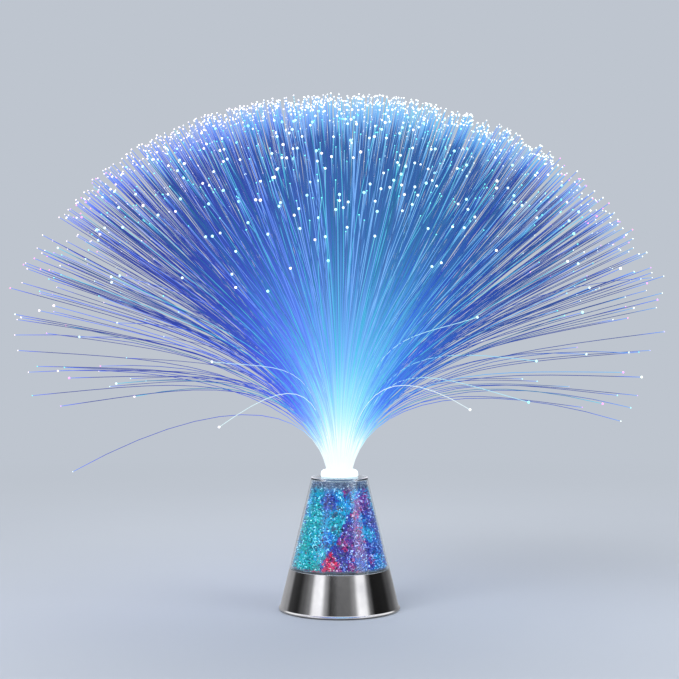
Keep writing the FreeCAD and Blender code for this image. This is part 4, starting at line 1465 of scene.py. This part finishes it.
@dataclass
class Studio:
    """Pale floor and backdrop, soft lights and the camera, in metres.

    The bands are the greys that metal mirrors, by azimuth in degrees, cooled by a little more blue. The
    ceiling and the ground are linear light, and take over from the bands between two heights on the unit
    sphere of directions.
    """

    pale: Colour = (190, 197, 207)
    shade: Colour = (187, 194, 205)
    floor_radius: float = 5.0
    floor_level: float = -0.00002
    floor_sides: int = 96
    floor_fade: Span = (0.18, 1.3)
    lights: tuple[SoftLight, ...] = (
        SoftLight("key", (-0.9, -1.1, 1.35), 1.0, 17.0),
        SoftLight("fill", (1.2, -0.7, 0.9), 0.9, 7.0),
        SoftLight("top", (0.1, 0.7, 1.5), 0.9, 9.0),
    )
    light_target: Place = (0.0, 0.0, 0.12)
    even_light: float = 0.5
    camera_place: Place = (0.0, -0.9, 0.172)
    camera_target: Place = (0.0, 0.0, 0.1776)
    lens: float = 72.2
    ceiling: Colour = (1.05, 1.05, 1.05, 1)
    ceiling_rise: Span = (0.4, 0.5)
    ground: Colour = (0.4, 0.41, 0.43, 1)
    ground_fall: Span = (0.0, -0.25)
    coolness: float = 1.01
    bands: tuple[Span, ...] = (
        (-180, 0.5), (-150, 0.42), (-126, 0.34), (-114, 0.05), (-92, 0.022), (-78, 0.1), (-64, 0.24),
        (-53, 1.1), (-39, 1.25), (-29, 0.35), (-19, 0.035), (-11, 0.075), (-3, 0.145), (20, 0.145),
        (31, 0.3), (41, 1.1), (54, 1.05), (65, 0.14), (74, 0.01), (106, 0.015), (122, 0.08), (146, 0.2),
        (180, 0.5),
    )

    def build(self) -> None:
        """Makes everything that is not part of the lamp."""
        self.floor()
        self.world()
        for light in self.lights:
            lamp = bpy.data.lights.new(light.name, "AREA")
            lamp.size, lamp.energy = light.size, light.power
            thing = self.aimed(light.name, lamp, light.place, self.light_target)
            thing.visible_camera = False
            thing.visible_glossy = False
        camera = bpy.data.cameras.new("camera")
        camera.lens, camera.sensor_width = self.lens, 36
        camera.clip_start, camera.clip_end = 0.01, 50
        bpy.context.scene.camera = self.aimed("camera", camera, self.camera_place, self.camera_target)

    @staticmethod
    def aimed(name: str, data: bpy.types.ID, place: Place, target: Place) -> bpy.types.Object:
        """Puts up a light or the camera.

        Args:
            name: The object's name.
            data: The light or the camera.
            place: Where it stands or hangs.
            target: Where it looks.

        Returns:
            The new object.
        """
        thing = bpy.data.objects.new(name, data)
        thing.location = place
        thing.rotation_euler = (Vector(target) - Vector(place)).to_track_quat("-Z", "Y").to_euler()
        bpy.context.scene.collection.objects.link(thing)
        return thing

    def floor(self) -> None:
        """Lays a round floor that fades into the backdrop's colour away from the lamp."""
        angle = np.linspace(0, 2 * np.pi, self.floor_sides, endpoint=False)
        rim = round_axis(self.floor_radius, angle, self.floor_level)
        mesh = bpy.data.meshes.new("studio_floor")
        mesh.from_pydata(rim.tolist(), [], [list(range(self.floor_sides))])
        shader = Shader("studio_floor")
        shader.fix(Roughness=0.9, Specular_IOR_Level=0.1)
        tone = shader.mottle((0.3, self.shade), (0.7, self.pale), scale=3, detail=2)
        shader.lead(tone, "Base Color")
        glow = shader.add("Emission", {"Color": self.pale})
        distance = shader.add("VectorMath", {0: shader.place()}, "Value", operation="LENGTH")
        fade = shader.span(distance, self.floor_fade, kind="SMOOTHSTEP")
        camera_ray = shader.add("LightPath", {}, "Is Camera Ray")
        seen = shader.add("Math", {0: fade, 1: camera_ray}, operation="MULTIPLY")
        mixed = shader.add("MixShader", {0: seen, 1: shader.surface.outputs["BSDF"], 2: glow})
        shader.feed(mixed, shader.tree.nodes["Material Output"].inputs["Surface"])
        mesh.materials.append(shader.material)
        thing = bpy.data.objects.new("studio_floor", mesh)
        thing.visible_glossy = False
        bpy.context.scene.collection.objects.link(thing)
        thing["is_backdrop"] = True

    def world(self) -> None:
        """Makes the backdrop, the even light round the lamp, and the panels that metal mirrors.

        The azimuth of a direction is arctan(x / -y), from -180 to 180 degrees, with 0 at the front.
        """
        world = bpy.data.worlds.new("studio")
        world.use_nodes = True
        bpy.context.scene.world = world
        nodes = Nodes(world.node_tree)
        nodes.tree.nodes.clear()
        direction = nodes.add("TexCoord", {}, "Generated")
        x, y, z = (nodes.add("SeparateXYZ", {"Vector": direction}, axis) for axis in "XYZ")
        back = nodes.add("Math", {0: y, 1: -1}, operation="MULTIPLY")
        azimuth = nodes.add("Math", {0: x, 1: back}, operation="ARCTAN2")
        share = nodes.span(azimuth, (-math.pi, math.pi))
        stops = [((angle + 180) / 360, (grey, grey, grey * self.coolness, 1)) for angle, grey in self.bands]
        mirrored = nodes.ramp(share, stops, "EASE")
        mirrored = nodes.blend(nodes.span(z, self.ceiling_rise), mirrored, self.ceiling)
        mirrored = nodes.blend(nodes.span(z, self.ground_fall), mirrored, self.ground)
        even = nodes.add("Background", {"Color": FULL_LIGHT, "Strength": self.even_light})
        panels = nodes.add("Background", {"Color": mirrored})
        pale = nodes.add("Background", {"Color": self.pale})
        rays = [nodes.add("LightPath", {}, f"Is {ray} Ray") for ray in ("Glossy", "Camera", "Transmission")]
        shown = nodes.add("MixShader", {0: rays[0], 1: even, 2: panels})
        seen = nodes.add("Math", {0: rays[1], 1: rays[2]}, operation="MAXIMUM")
        shown = nodes.add("MixShader", {0: seen, 1: shown, 2: pale})
        output = nodes.tree.nodes.new("ShaderNodeOutputWorld")
        nodes.feed(shown, output.inputs["Surface"])


# ---------------------------------------------------------------- the lamp


def main() -> None:
    """Builds the studio and every sub-assembly of the lamp."""
    logging.basicConfig(level=logging.INFO, format="%(message)s")
    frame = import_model()
    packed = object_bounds()
    bpy.context.scene.view_settings.view_transform = "Standard"
    cone = Cone()
    assemblies = (
        Studio(),
        Skirt(cone),
        Chamber(cone),
        CrystalFill(cone),
        Collar(),
        FibreSpray(packed[1]),
        PackedPieces(frame["nodes"]),
    )
    for assembly in assemblies:
        assembly.build()


if __name__ == "__main__":
    main()
